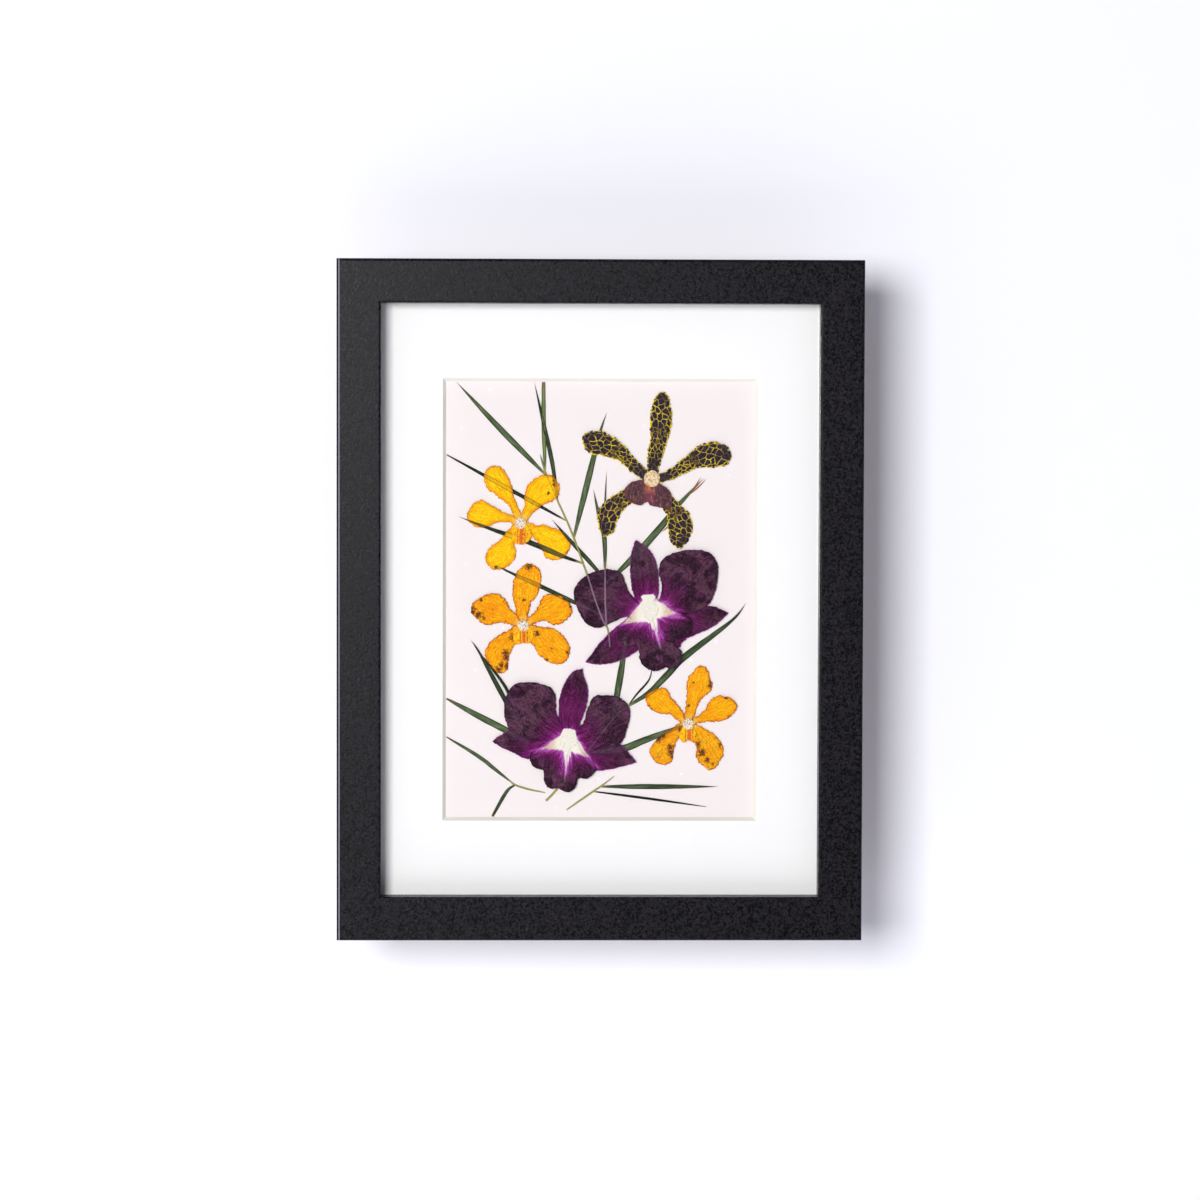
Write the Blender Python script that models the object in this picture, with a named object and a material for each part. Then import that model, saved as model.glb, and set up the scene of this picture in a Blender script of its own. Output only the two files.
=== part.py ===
"""Pressed flower frame: a mitred picture frame with orchids and foliage pressed behind its glass.

The frame hangs upright. X runs to the right, Z runs up and the front faces -Y. The origin is on the
wall side of the sawtooth hanger, where the wall nail bears.
"""

import math
from collections import namedtuple

import bmesh
import bpy
from mathutils import Matrix, Vector

MM = 0.001

# Driving dimensions of the frame, in millimetres.
SIGHT_WIDTH = 170.0
SIGHT_HEIGHT = 230.0
RAIL_WIDTH = 17.0
RAIL_DEPTH = 20.0
LIP_DEPTH = 8.0
LEDGE = 5.5
ARRIS = 0.8
MITRE_GAP = 0.1
GAP = 0.3

# Driving dimensions of what the frame holds, in millimetres.
WINDOW_WIDTH = 120.0
WINDOW_HEIGHT = 170.0
WINDOW_BEVEL = 1.2
GLASS_THICKNESS = 2.0
MAT_THICKNESS = 1.7
PAPER_THICKNESS = 0.4
BOARD_THICKNESS = 3.0
PRESSED_GAP = 0.1
LAYER_THICKNESS = 0.15
LAYER_PITCH = LAYER_THICKNESS + PRESSED_GAP

# Driving dimensions of the fittings, in millimetres.
TAB_WIDTH = 9.0
TAB_LENGTH = 15.0
TAB_THICKNESS = 0.5
TAB_SUNK = 5.0
HANGER_LENGTH = 44.0
HANGER_HEIGHT = 8.0
HANGER_THICKNESS = 0.8
HANGER_LIFT = 1.5
HANGER_FOOT = 9.0
HANGER_RAMP = 3.0
TOOTH_COUNT = 7
TOOTH_PITCH = 2.6
TOOTH_DEPTH = 1.6
TOOTH_CUT = 1.43
TOOTH_ROOT = -0.4
NAIL_SHANK = 0.7
NAIL_HEAD = 1.7
NAIL_HEAD_THICKNESS = 0.6
NAIL_LENGTH = 9.0
HANGER_BELOW_TOP = 8.5

# Everything else follows from them.
OUTER_WIDTH = SIGHT_WIDTH + 2 * RAIL_WIDTH
OUTER_HEIGHT = SIGHT_HEIGHT + 2 * RAIL_WIDTH
REBATE_WIDTH = SIGHT_WIDTH + 2 * LEDGE
REBATE_HEIGHT = SIGHT_HEIGHT + 2 * LEDGE
PANE_WIDTH = REBATE_WIDTH - 2 * GAP
PANE_HEIGHT = REBATE_HEIGHT - 2 * GAP
BACK_RIM = -(GAP + HANGER_LIFT + HANGER_THICKNESS)
FRONT = BACK_RIM - RAIL_DEPTH
GLASS_FRONT = FRONT + LIP_DEPTH + GAP
GLASS_BACK = GLASS_FRONT + GLASS_THICKNESS
MAT_FRONT = GLASS_BACK + PRESSED_GAP
PAPER_FRONT = MAT_FRONT + MAT_THICKNESS + PRESSED_GAP
BOARD_FRONT = PAPER_FRONT + PAPER_THICKNESS + PRESSED_GAP
TAB_FRONT = BOARD_FRONT + BOARD_THICKNESS + GAP
CENTRE_Z = -(OUTER_HEIGHT / 2 - HANGER_BELOW_TOP)

CORNER = "corner"

COLLECTION = bpy.data.collections.new("pressed_flower_frame")
HELPERS = bpy.data.collections.new("helpers")

# A material: base colour, roughness, metallic value and transmission.
Finish = namedtuple("Finish", "colour roughness metallic transmission")
FINISHES = {
    "black_foil": Finish((0.016, 0.016, 0.018), 0.42, 0.0, 0.0),
    "clear_glass": Finish((1.0, 1.0, 1.0), 0.02, 0.0, 1.0),
    "white_card": Finish((0.90, 0.89, 0.87), 0.85, 0.0, 0.0),
    "pink_paper": Finish((0.95, 0.87, 0.87), 0.9, 0.0, 0.0),
    "brown_board": Finish((0.25, 0.15, 0.08), 0.8, 0.0, 0.0),
    "zinc_steel": Finish((0.6, 0.6, 0.6), 0.35, 1.0, 0.0),
    "yellow_petal": Finish((0.95, 0.45, 0.02), 0.6, 0.0, 0.0),
    "purple_petal": Finish((0.08, 0.01, 0.07), 0.55, 0.0, 0.0),
    "cream_column": Finish((0.85, 0.78, 0.62), 0.6, 0.0, 0.0),
    "spotted_petal": Finish((0.55, 0.42, 0.05), 0.6, 0.0, 0.0),
    "brown_lip": Finish((0.10, 0.04, 0.05), 0.6, 0.0, 0.0),
    "dry_leaf": Finish((0.09, 0.14, 0.05), 0.6, 0.0, 0.0),
}

# A petal outline is a closed smooth curve through its points, in millimetres from the middle of its
# flower: x to the right, y up. A point marked CORNER keeps a sharp tip.
YELLOW_UPPER = {
    "dorsal_sepal": (
        (-1, 0.5), (-4.5, 6.5), (-10, 11.2), (-12.7, 13.5), (-14.2, 17.5), (-12.8, 21.3), (-10, 22.3),
        (-6.6, 20.6), (-4.2, 16.5), (-2.5, 10.5), (-0.2, 4), (0.6, 1),
    ),
    "petal_left": (
        (-0.8, 1), (-6, 4), (-11.5, 7), (-15.5, 8.8), (-19, 6.6), (-20.7, 2.6), (-18.8, -0.7),
        (-14.5, -1.8), (-9.5, 0), (-5, 0.4), (-1, -0.6),
    ),
    "petal_right": (
        (0.3, 1), (1.4, 6.5), (1.7, 11.7), (3.7, 15.7), (8.5, 18.8), (12.5, 18.3), (15, 14.5),
        (13.8, 9.6), (8.8, 7), (4.5, 3.7), (1.5, 0.3),
    ),
    "sepal_left": (
        (-1, 0), (-4.7, -2.5), (-8.3, -7), (-12.5, -10.2), (-13.6, -13), (-12.2, -17), (-9, -18.2),
        (-4.5, -16.4), (-1.6, -12.5), (-2.3, -8), (-0.5, -2.5),
    ),
    "sepal_right": (
        (1, 0.3), (5.7, -0.5), (11, -1.2), (15.5, -3), (19.2, -7.5), (18.6, -11.4), (14.5, -14.3),
        (10, -13.4), (8.4, -10), (5, -5.7), (1.5, -2.3),
    ),
}
YELLOW_UPPER_LIP = (
    (-2.1, -0.8), (2.3, -0.8), (4.4, -5.6), (2.6, -7.4), (-0.2, -8.3), (-2.4, -7.6), (-3, -4.5),
)
YELLOW_MIDDLE = {
    "dorsal_sepal": (
        (-1, 0.8), (-3, 8), (-4, 13), (-3.6, 18.3), (-0.6, 22.6), (3, 24.2), (6, 22.1), (7, 18),
        (5.6, 12), (3.3, 9), (2.2, 5), (1, 0.8),
    ),
    "petal_left": (
        (-0.8, 1), (-4.7, 6.3), (-8.6, 11.6), (-12.5, 12.4), (-17.5, 10.5), (-20.5, 6.3), (-18.3, 2.9),
        (-14.4, 0.2), (-9.2, 1.1), (-4.5, 0.2), (-1, -0.5),
    ),
    "petal_right": (
        (0.8, 1), (5, 6), (8.2, 11.3), (12, 12.3), (16.5, 10), (19.1, 6), (16, 1.8), (12, 0.2),
        (8.3, 1.6), (4.5, 0.8), (1, -0.3),
    ),
    "sepal_left": (
        (-1, 0), (-6.7, -2.4), (-12, -5.8), (-14.7, -10.5), (-13, -15.2), (-9, -18.8), (-6.2, -17.4),
        (-5.5, -13), (-3.4, -8), (-0.6, -2.5),
    ),
    "sepal_right": (
        (1, 0), (7, -0.6), (12.5, -1.5), (16.8, -5.5), (18.3, -10), (16.3, -14.2), (12, -15),
        (7.5, -12.6), (3.6, -7.5), (1, -2.5),
    ),
}
YELLOW_MIDDLE_LIP = (
    (-2.6, -1), (2.8, -1), (3.3, -6.2), (0.2, -6.8), (-2.6, -7.1),
)
YELLOW_LOWER = {
    "dorsal_sepal": (
        (-1, 0.8), (-1, 7), (-0.8, 13), (0, 18), (2.4, 21.2), (5, 22.6), (7.8, 20.6), (8.5, 17.8),
        (9.6, 15), (7.8, 12), (4.7, 9), (2.9, 4.8), (1, 0.8),
    ),
    "petal_left": (
        (-0.8, 1), (-3.7, 7), (-6.8, 10.4), (-9, 13.8), (-13.2, 13.4), (-16.7, 10.4), (-15.5, 6.6),
        (-12, 4.4), (-7, 3.4), (-3.5, 1), (-1, -0.3),
    ),
    "petal_right": (
        (0.8, 0.8), (6.3, 5.4), (9, 9.8), (14, 11.1), (17.3, 9.8), (19, 7.2), (17.3, 3.4), (13, 1.2),
        (7, 0.7), (3.5, 0), (1, -0.4),
    ),
    "sepal_left": (
        (-1, 0.3), (-6, -1.5), (-12, -5.8), (-14.9, -10), (-13.9, -13.5), (-11.5, -15.7), (-6.5, -15),
        (-5.8, -11.5), (-4.6, -7), (-0.8, -1.5),
    ),
    "sepal_right": (
        (1, 0), (7, -2.1), (12, -6), (14, -11), (12.3, -15), (9.5, -17.9), (6.5, -17), (2.9, -12.6),
        (3.4, -10), (1.8, -6.6), (0.6, -1.5),
    ),
}
YELLOW_LOWER_LIP = (
    (-1.6, -0.8), (1.8, -0.8), (1.9, -6.8), (-0.2, -6.1), (-1.5, -7.3), (-3.3, -5.5),
)
PURPLE_UPPER = {
    "dorsal_sepal": (
        (-5.6, 27.3, CORNER), (-2.4, 25.2), (0.6, 22), (2.7, 17), (3.4, 11.5), (2.8, 4), (0.8, 0),
        (-3.5, 0), (-6.4, 5.6), (-7.5, 12), (-7.8, 17.8), (-7.1, 23),
    ),
    "petal_left": (
        (-1.5, 0), (-5.6, 3.7), (-9, 8.5), (-11.2, 13.9), (-15, 15.6), (-21, 15), (-26.5, 12),
        (-29.6, 7.5), (-28.6, 1.2), (-25, -5), (-21.5, -7.2), (-15, -5.2), (-9, -2.6), (-3, -2),
    ),
    "petal_right": (
        (1, 0), (4, 5), (4.4, 10), (3.5, 15.5), (5.5, 20), (11, 22.7), (17, 23.4), (23, 22.2),
        (26.2, 18), (26.5, 12.5), (25, 6), (22, 1.2), (12, -2), (4, -2.5),
    ),
    "sepal_left": (
        (-25.2, -20.7, CORNER), (-20, -13.8), (-14, -7.5), (-8, -4), (-3, -3.5), (-3, -14),
        (-8, -18.2), (-14, -20.7), (-20, -21.4),
    ),
    "sepal_right": (
        (30.7, -1.2, CORNER), (25, 1.2), (20, 1.4), (12, 0), (4, -2), (5, -10), (11.2, -15),
        (13, -12.4), (20, -9), (26.5, -5.5),
    ),
    "lip": (
        (-2.6, 3.4), (-0.5, 4.4), (1.9, 3.7), (6, 1.8), (10.3, -1), (14.5, -2.2), (16.8, -5.5),
        (15.4, -9.7), (11.5, -11.5), (9.4, -12.5), (12.4, -16.3), (12, -20.5), (9, -23), (6.4, -22.7),
        (2, -24), (-1.8, -22.6), (-3.8, -19.5), (-4.2, -16), (-5.6, -14.2), (-9, -14.4),
        (-11.7, -12.5), (-12.4, -7), (-9.6, -4), (-7, -0.7), (-4.4, 2),
    ),
    "column": (
        (-3.3, 5.3), (-0.8, 5.9), (2, 5.4), (1.8, 3.6), (3.4, 0), (1.6, -3.6), (-0.4, -5.4),
        (-2.2, -3.6), (-3.8, 0), (-2.7, 3.4),
    ),
}
PURPLE_LOWER = {
    "dorsal_sepal": (
        (5.3, 28.4, CORNER), (2, 27.3), (-1.5, 23), (-3.5, 17), (-4, 11), (-3, 2), (2.5, 2), (4.5, 7),
        (7, 14), (7.5, 20), (6, 25),
    ),
    "petal_left": (
        (-1.5, 3), (-4.8, 10.5), (-5.2, 15.7), (-6, 19.6), (-10.5, 22), (-16.4, 22.8), (-21.8, 21.5),
        (-24.8, 16.5), (-25.3, 11.5), (-24.3, 7), (-22.5, 3.6), (-16, 1), (-8, -1), (-2, -1),
    ),
    "petal_right": (
        (1.5, 2.5), (5.5, 7), (7.5, 13.3), (9.8, 17.2), (14, 17.8), (19.2, 17.2), (22.7, 14.4),
        (23.9, 10.5), (22.8, 5), (20.3, -1), (15, -4.5), (8, -5), (2, -2),
    ),
    "sepal_left": (
        (-30, -0.2, CORNER), (-25, 3.2), (-19, 5.2), (-10, 3.5), (-3, 1), (-5, -4), (-14.5, -7.3),
        (-21.8, -4.7), (-26.5, -2.5),
    ),
    "sepal_right": (
        (26.6, -8.3, CORNER), (24, -5.2), (20, -1.2), (12, -0.5), (3, -1), (4, -7), (10, -11.5),
        (16, -11.2), (22, -9.8),
    ),
    "lip": (
        (-2, 3), (2, 3), (3.8, -0.6), (5, -3.8), (8.2, -7.6), (10.7, -10.4), (9.6, -13), (7, -14.8),
        (3.9, -14.7), (2.8, -17.8), (0.8, -19.9), (-1.5, -20), (-4, -18.6), (-7, -18.8),
        (-9.3, -16.6), (-9.6, -14), (-10.1, -11.5), (-12.8, -10.8), (-14.6, -8.7), (-15, -5.7),
        (-12.4, -3), (-9, -0.2), (-5, 1.2),
    ),
    "column": (
        (-2.2, 4.3), (0, 4.7), (2.2, 4.3), (3, 1.5), (3.6, -1), (1.2, -2.5), (-1, -5.6), (-2.4, -3),
        (-5, -1.8), (-3.4, 1.6),
    ),
}
SPOTTED = {
    "dorsal_sepal": (
        (-1.5, 1), (-1.9, 5), (-1.6, 10.5), (-0.7, 16), (-1, 23), (0, 28.5), (2.2, 33.2), (5, 33.6),
        (7, 29), (7.8, 23), (6.6, 16.2), (4.6, 10.5), (3.1, 5), (2, 1),
    ),
    "petal_left": (
        (-1, 1.8), (-5, 6.3), (-11.6, 13.4), (-16, 16.8), (-22, 18.7), (-26.4, 17.3), (-27, 13.8),
        (-24.5, 10), (-18, 8.6), (-12.5, 6.3), (-6.5, 1.6), (-2, -0.5),
    ),
    "petal_right": (
        (1.5, 0.5), (7.4, 4.2), (14, 9.6), (20, 13.6), (26.4, 14.1), (30.4, 10.8), (29.8, 6.3),
        (25, 4.5), (18, 4.3), (10.8, 1.2), (5, -1), (1.5, -1),
    ),
    "sepal_left": (
        (-3, -2), (-9, -3.5), (-15.4, -6.7), (-20, -11), (-21.3, -15), (-20.3, -20),
        (-18.8, -22.8, CORNER), (-14.8, -20.8), (-13.5, -16.5), (-9.8, -11), (-5, -8), (-1.5, -4),
    ),
    "sepal_right": (
        (2, -2), (6, -5), (11.2, -10.1), (14.8, -14.2), (15.9, -18.5), (14.6, -23.5),
        (11, -27.6, CORNER), (7.6, -25), (6.3, -21), (6.1, -16), (4, -10.5), (1.5, -5),
    ),
    "lip": (
        (-3, -0.5), (-7, -1), (-10.9, -4.6), (-8.7, -8.7), (-4.1, -10.3), (-2.1, -9), (-0.6, -10.5),
        (3, -11), (6.7, -11.8), (7.9, -9), (6.8, -4.8), (3.8, -2.2),
    ),
}

# A flower: its outlines, its middle in the mat window, its finish and the layer of its sepals.
Flower = namedtuple("Flower", "name outlines middle finish layer")
FLOWERS = (
    Flower("yellow_orchid_upper", YELLOW_UPPER, (-31.0, 29.9), "yellow_petal", 1),
    Flower("yellow_orchid_middle", YELLOW_MIDDLE, (-29.9, -10.0), "yellow_petal", 1),
    Flower("yellow_orchid_lower", YELLOW_LOWER, (34.7, -48.4), "yellow_petal", 1),
    Flower("purple_orchid_upper", PURPLE_UPPER, (19.5, -3.7), "purple_petal", 3),
    Flower("purple_orchid_lower", PURPLE_LOWER, (-12.0, -55.0), "purple_petal", 3),
    Flower("spotted_orchid", SPOTTED, (20.2, 47.3), "spotted_petal", 1),
)
YELLOW_LIPS = {
    "yellow_orchid_upper": YELLOW_UPPER_LIP,
    "yellow_orchid_middle": YELLOW_MIDDLE_LIP,
    "yellow_orchid_lower": YELLOW_LOWER_LIP,
}
YELLOW_COLUMN_RADIUS = 2.1
SPOTTED_COLUMN_RADIUS = 3.1
COLUMN_HEIGHT = 0.3

# A strip of foliage: its line from base to tip in the mat window, its greatest width, and its widths
# at the base and the tip as shares of that. A leaf ends in a point, and a cut end stays square.
Strip = namedtuple("Strip", "line width base tip", defaults=(0.35, 0.0))
STEM = {"base": 1.0, "tip": 0.8}
SPRIGS = {
    "sprig_upper": (
        Strip(((4, -18), (3.2, -11.5), (1.5, -8.5), (-1.6, -0.5), (-5, 10), (-11.3, 27), (-16.7, 39),
               (-22, 51.5)), 0.8, **STEM),
        Strip(((2.6, -10), (2.1, 0), (2, 15)), 0.8, **STEM),
        Strip(((-21.2, 48.7), (-39, 66.6), (-56, 84.7)), 2.3),
        Strip(((-21.4, 50.5), (-22, 68), (-22.1, 84.7)), 1.7, tip=0.8),
        Strip(((-16.5, 38.5), (-18.6, 53), (-22, 68.5), (-25.7, 84.7)), 1.7),
        Strip(((-21.5, 50.5), (-23.4, 56.8)), 0.8),
        Strip(((-13.4, 31), (-37, 44), (-59.7, 56.4)), 1.5),
        Strip(((-6.4, 14.2), (-14.4, 17), (-29, 23), (-42, 27.4), (-55.2, 32.4)), 2.0),
        Strip(((0.9, -5.9), (-10.2, -0.8), (-23.8, 5.6), (-32.5, 9.5), (-43.5, 14.8)), 1.7),
        Strip(((2.2, 7), (-0.6, 11), (-10.2, 21.6), (-18.7, 31.2)), 1.7),
        Strip(((-10.2, 24.2), (-5.5, 43.5), (-2.5, 55.7), (0, 65.5), (2.5, 73)), 2.4),
        Strip(((2, 13), (1.8, 26), (2, 38), (2.5, 50)), 1.0),
        Strip(((2, 11), (1.7, 24), (-0.5, 33), (-2.6, 43)), 1.8),
        Strip(((2.1, 6.5), (7.6, 11.2), (17.8, 21.7), (25.8, 31.1), (31.1, 37.7), (40.3, 47.5)), 2.7),
    ),
    "sprig_middle": (
        Strip(((-20.8, -78.6), (-16.5, -74), (-4.8, -59.5), (5.3, -46.4), (11.6, -41)), 0.9, **STEM),
        Strip(((11, -41.6), (19.7, -35.9), (26.6, -29), (32.9, -22.4), (51.3, -8.2), (57.2, -1.1)), 2.7),
        Strip(((11, -41.6), (14.4, -37), (19.4, -31), (20.6, -25)), 0.8),
        Strip(((5.1, -46.8), (6.7, -38), (9.2, -22.5), (10.4, -12)), 2.6),
        Strip(((-5, -60), (9.4, -58), (17.2, -55), (29, -50.4), (35, -48.2)), 2.8),
    ),
    "sprig_lower_right": (
        Strip(((-12.7, -82.1), (-2.2, -74.8), (0.8, -72.8), (5.8, -69)), 0.8, base=0.6, tip=0.4),
        Strip(((0.6, -73), (24, -73), (46.6, -73)), 2.0),
        Strip(((-2.4, -74.9), (20, -77.8), (41.9, -80.9)), 1.0, base=0.5, tip=0.2),
    ),
    "sprig_lower_left": (
        Strip(((-34.9, -70.8), (-32.8, -72.4), (-27.9, -74), (-21.2, -75.4)), 0.8, base=0.8, tip=0.4),
        Strip(((-34.5, -71.2), (-40.8, -66.2), (-47.5, -61), (-59.7, -53.6)), 1.5),
        Strip(((-32.5, -72.2), (-35.1, -73.8), (-37.2, -76.6), (-41.7, -84.7)), 1.4, tip=0.7),
    ),
    "blade_left": (
        Strip(((-28, -55.5), (-36, -51.2), (-48, -45), (-59.7, -38.6)), 2.6, base=0.6),
    ),
    "blade_pair": (
        Strip(((-30, -50.5), (-37, -38.9), (-46.6, -21.2), (-50.3, -15.7)), 1.8, base=0.6),
        Strip(((-30, -49.8), (-35.8, -35.8), (-41.7, -27.2), (-46.6, -21)), 1.2, base=0.6, tip=0.2),
    ),
}
SPRIG_LAYERS = {"blade_pair": 2}
STAGGER = 0.003
STRIP_STEPS = 9
WIDEST_AT = 0.4


def clear_scene():
    """Remove whatever the scene holds."""
    for obj in list(bpy.data.objects):
        bpy.data.objects.remove(obj)
    scene_collection = bpy.context.scene.collection
    scene_collection.children.link(COLLECTION)
    scene_collection.children.link(HELPERS)


def make_material(name):
    """A Principled material with one of the finishes."""
    finish = FINISHES[name]
    material = bpy.data.materials.new(name)
    material.use_nodes = True
    shader = material.node_tree.nodes["Principled BSDF"]
    shader.inputs["Base Color"].default_value = (*finish.colour, 1.0)
    shader.inputs["Roughness"].default_value = finish.roughness
    shader.inputs["Metallic"].default_value = finish.metallic
    shader.inputs["Transmission Weight"].default_value = finish.transmission
    return material


def finished(obj, finish):
    """Link a piece to the part's collection and give it its material."""
    COLLECTION.objects.link(obj)
    material = bpy.data.materials.get(finish) or make_material(finish)
    obj.data.materials.clear()
    obj.data.materials.append(material)
    return obj


def mesh_object(name, work):
    """Turn a bmesh, drawn in millimetres, into an object in metres."""
    bmesh.ops.recalc_face_normals(work, faces=work.faces)
    bmesh.ops.scale(work, vec=(MM, MM, MM), verts=work.verts)
    mesh = bpy.data.meshes.new(name)
    work.to_mesh(mesh)
    work.free()
    return bpy.data.objects.new(name, mesh)


def box_bmesh(size, centre):
    """A box of the given size about the given middle."""
    work = bmesh.new()
    placed = Matrix.Translation(centre) @ Matrix.Diagonal((*size, 1.0))
    bmesh.ops.create_cube(work, size=1.0, matrix=placed)
    return work


def make_helper(name, work):
    """A cutter, kept out of the part."""
    helper = mesh_object(name, work)
    HELPERS.objects.link(helper)
    helper.hide_render = True
    helper.display_type = "WIRE"
    return helper


def combine(obj, other, operation):
    """Boolean another mesh into a piece."""
    modifier = obj.modifiers.new(f"{operation.lower()}_{other.name}", "BOOLEAN")
    modifier.operation = operation
    modifier.solver = "EXACT"
    modifier.object = other


def sheet(name, width, height, front, thickness, finish):
    """A flat rectangle behind the rails, centred on the frame."""
    middle = (0.0, front + thickness / 2, CENTRE_Z)
    return finished(mesh_object(name, box_bmesh((width, thickness, height), middle)), finish)


def make_rail(name, length, turn):
    """One mitred rail: its section, drawn out along the side and sheared to 45 degrees at both ends.

    The rail is drawn as the bottom one, with `across` counted from the outer edge inwards, and then
    turned about the frame's centre.
    """
    lip_back = FRONT + LIP_DEPTH
    rebate_at = RAIL_WIDTH - LEDGE
    section = (
        (0.0, BACK_RIM), (0.0, FRONT + ARRIS), (ARRIS, FRONT), (RAIL_WIDTH - ARRIS / 2, FRONT),
        (RAIL_WIDTH, FRONT + ARRIS / 2), (RAIL_WIDTH, lip_back), (rebate_at, lip_back),
        (rebate_at, BACK_RIM),
    )
    half = length / 2 - MITRE_GAP / 2 * math.sqrt(2)
    reach = OUTER_WIDTH if length == OUTER_HEIGHT else OUTER_HEIGHT
    work = bmesh.new()
    ring = [work.verts.new((across - half, depth, across - reach / 2)) for across, depth in section]
    cap = work.faces.new(ring)
    drawn = bmesh.ops.extrude_face_region(work, geom=[cap])["geom"]
    for vert in (item for item in drawn if isinstance(item, bmesh.types.BMVert)):
        vert.co.x = -vert.co.x
    bmesh.ops.rotate(work, cent=(0, 0, 0), matrix=Matrix.Rotation(turn, 3, "Y"), verts=work.verts)
    bmesh.ops.translate(work, vec=(0, 0, CENTRE_Z), verts=work.verts)
    return finished(mesh_object(name, work), "black_foil")


def make_rails():
    """The four rails of the frame."""
    return {
        "bottom": make_rail("rail_bottom", OUTER_WIDTH, 0.0),
        "left": make_rail("rail_left", OUTER_HEIGHT, math.pi / 2),
        "top": make_rail("rail_top", OUTER_WIDTH, math.pi),
        "right": make_rail("rail_right", OUTER_HEIGHT, -math.pi / 2),
    }


def make_mat():
    """The card with its window, whose bevel widens towards the glass."""
    mat = sheet("window_mat", PANE_WIDTH, PANE_HEIGHT, MAT_FRONT, MAT_THICKNESS, "white_card")
    spread = WINDOW_BEVEL / MAT_THICKNESS
    reach = 2.0
    depth = MAT_THICKNESS + 2 * reach
    work = box_bmesh((1.0, depth, 1.0), (0.0, 0.0, 0.0))
    for vert in work.verts:
        widening = (depth - reach if vert.co.y < 0 else -reach) * spread
        vert.co.x = math.copysign(WINDOW_WIDTH / 2 + widening, vert.co.x)
        vert.co.z = math.copysign(WINDOW_HEIGHT / 2 + widening, vert.co.z)
    middle = (0.0, MAT_FRONT + MAT_THICKNESS / 2, CENTRE_Z)
    bmesh.ops.translate(work, vec=middle, verts=work.verts)
    combine(mat, make_helper("window_cutter", work), "DIFFERENCE")


def make_tab(side, rails):
    """A flat metal point driven into the rebate wall of a rail, and the slot it sits in."""
    upright = side in ("left", "right")
    outward = -1.0 if side in ("left", "bottom") else 1.0
    wall = (REBATE_WIDTH if upright else REBATE_HEIGHT) / 2
    along = outward * (wall + TAB_SUNK - TAB_LENGTH / 2)
    depth = TAB_FRONT + TAB_THICKNESS / 2
    middle = (along, depth, CENTRE_Z) if upright else (0.0, depth, CENTRE_Z + along)
    size = (TAB_LENGTH, TAB_THICKNESS, TAB_WIDTH) if upright else (TAB_WIDTH, TAB_THICKNESS, TAB_LENGTH)
    work = box_bmesh(size, middle)
    inner = [
        edge for edge in work.edges
        if all((vert.co.x if upright else vert.co.z - CENTRE_Z) * outward < wall for vert in edge.verts)
        and abs(edge.verts[0].co.y - edge.verts[1].co.y) > TAB_THICKNESS / 2
    ]
    bmesh.ops.bevel(work, geom=inner, offset=TAB_WIDTH / 3, segments=1, profile=0.5, affect="EDGES")
    finished(mesh_object(f"retaining_tab_{side}", work), "zinc_steel")
    slot_size = [length + 2 * GAP for length in size]
    slot = make_helper(f"slot_{side}", box_bmesh(slot_size, middle))
    combine(rails[side], slot, "DIFFERENCE")


def make_hanger(rails):
    """The sawtooth hanger, a strip with a raised and toothed middle, and its two nails."""
    half = HANGER_LENGTH / 2
    foot_y = BACK_RIM + GAP
    path = [
        (-half, 0.0), (HANGER_FOOT - half, 0.0), (HANGER_FOOT + HANGER_RAMP - half, HANGER_LIFT),
    ]
    path += [(-x, lift) for x, lift in reversed(path)]
    work = bmesh.new()
    front = [work.verts.new((x, foot_y + lift, 0.0)) for x, lift in path]
    back = [work.verts.new((x, foot_y + lift + HANGER_THICKNESS, 0.0)) for x, lift in path]
    strip = work.faces.new(front + back[::-1])
    raised = bmesh.ops.extrude_face_region(work, geom=[strip])["geom"]
    top = [item for item in raised if isinstance(item, bmesh.types.BMVert)]
    bmesh.ops.translate(work, vec=(0, 0, HANGER_HEIGHT), verts=top)
    bmesh.ops.translate(work, vec=(0, 0, -TOOTH_DEPTH), verts=work.verts)
    hanger = finished(mesh_object("hanger", work), "zinc_steel")
    for index in range(TOOTH_COUNT):
        notch = bmesh.new()
        bmesh.ops.create_cone(
            notch, cap_ends=True, segments=3, radius1=TOOTH_CUT, radius2=TOOTH_CUT,
            depth=4 * HANGER_THICKNESS, matrix=Matrix.Rotation(math.pi / 2, 4, "X"),
        )
        place = (
            (index - (TOOTH_COUNT - 1) / 2) * TOOTH_PITCH, -HANGER_THICKNESS / 2,
            TOOTH_ROOT - TOOTH_CUT,
        )
        bmesh.ops.translate(notch, vec=place, verts=notch.verts)
        combine(hanger, make_helper(f"notch_{index}", notch), "DIFFERENCE")
    for side, x in (("left", HANGER_FOOT / 2 - half), ("right", half - HANGER_FOOT / 2)):
        make_nail(side, x, hanger, rails["top"])


def cylinder_bmesh(radius, y_from, y_to, x, z):
    """A cylinder along Y."""
    work = bmesh.new()
    placed = Matrix.Translation((x, (y_from + y_to) / 2, z)) @ Matrix.Rotation(math.pi / 2, 4, "X")
    bmesh.ops.create_cone(
        work, cap_ends=True, segments=12, radius1=radius, radius2=radius, depth=y_to - y_from,
        matrix=placed,
    )
    return work


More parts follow.
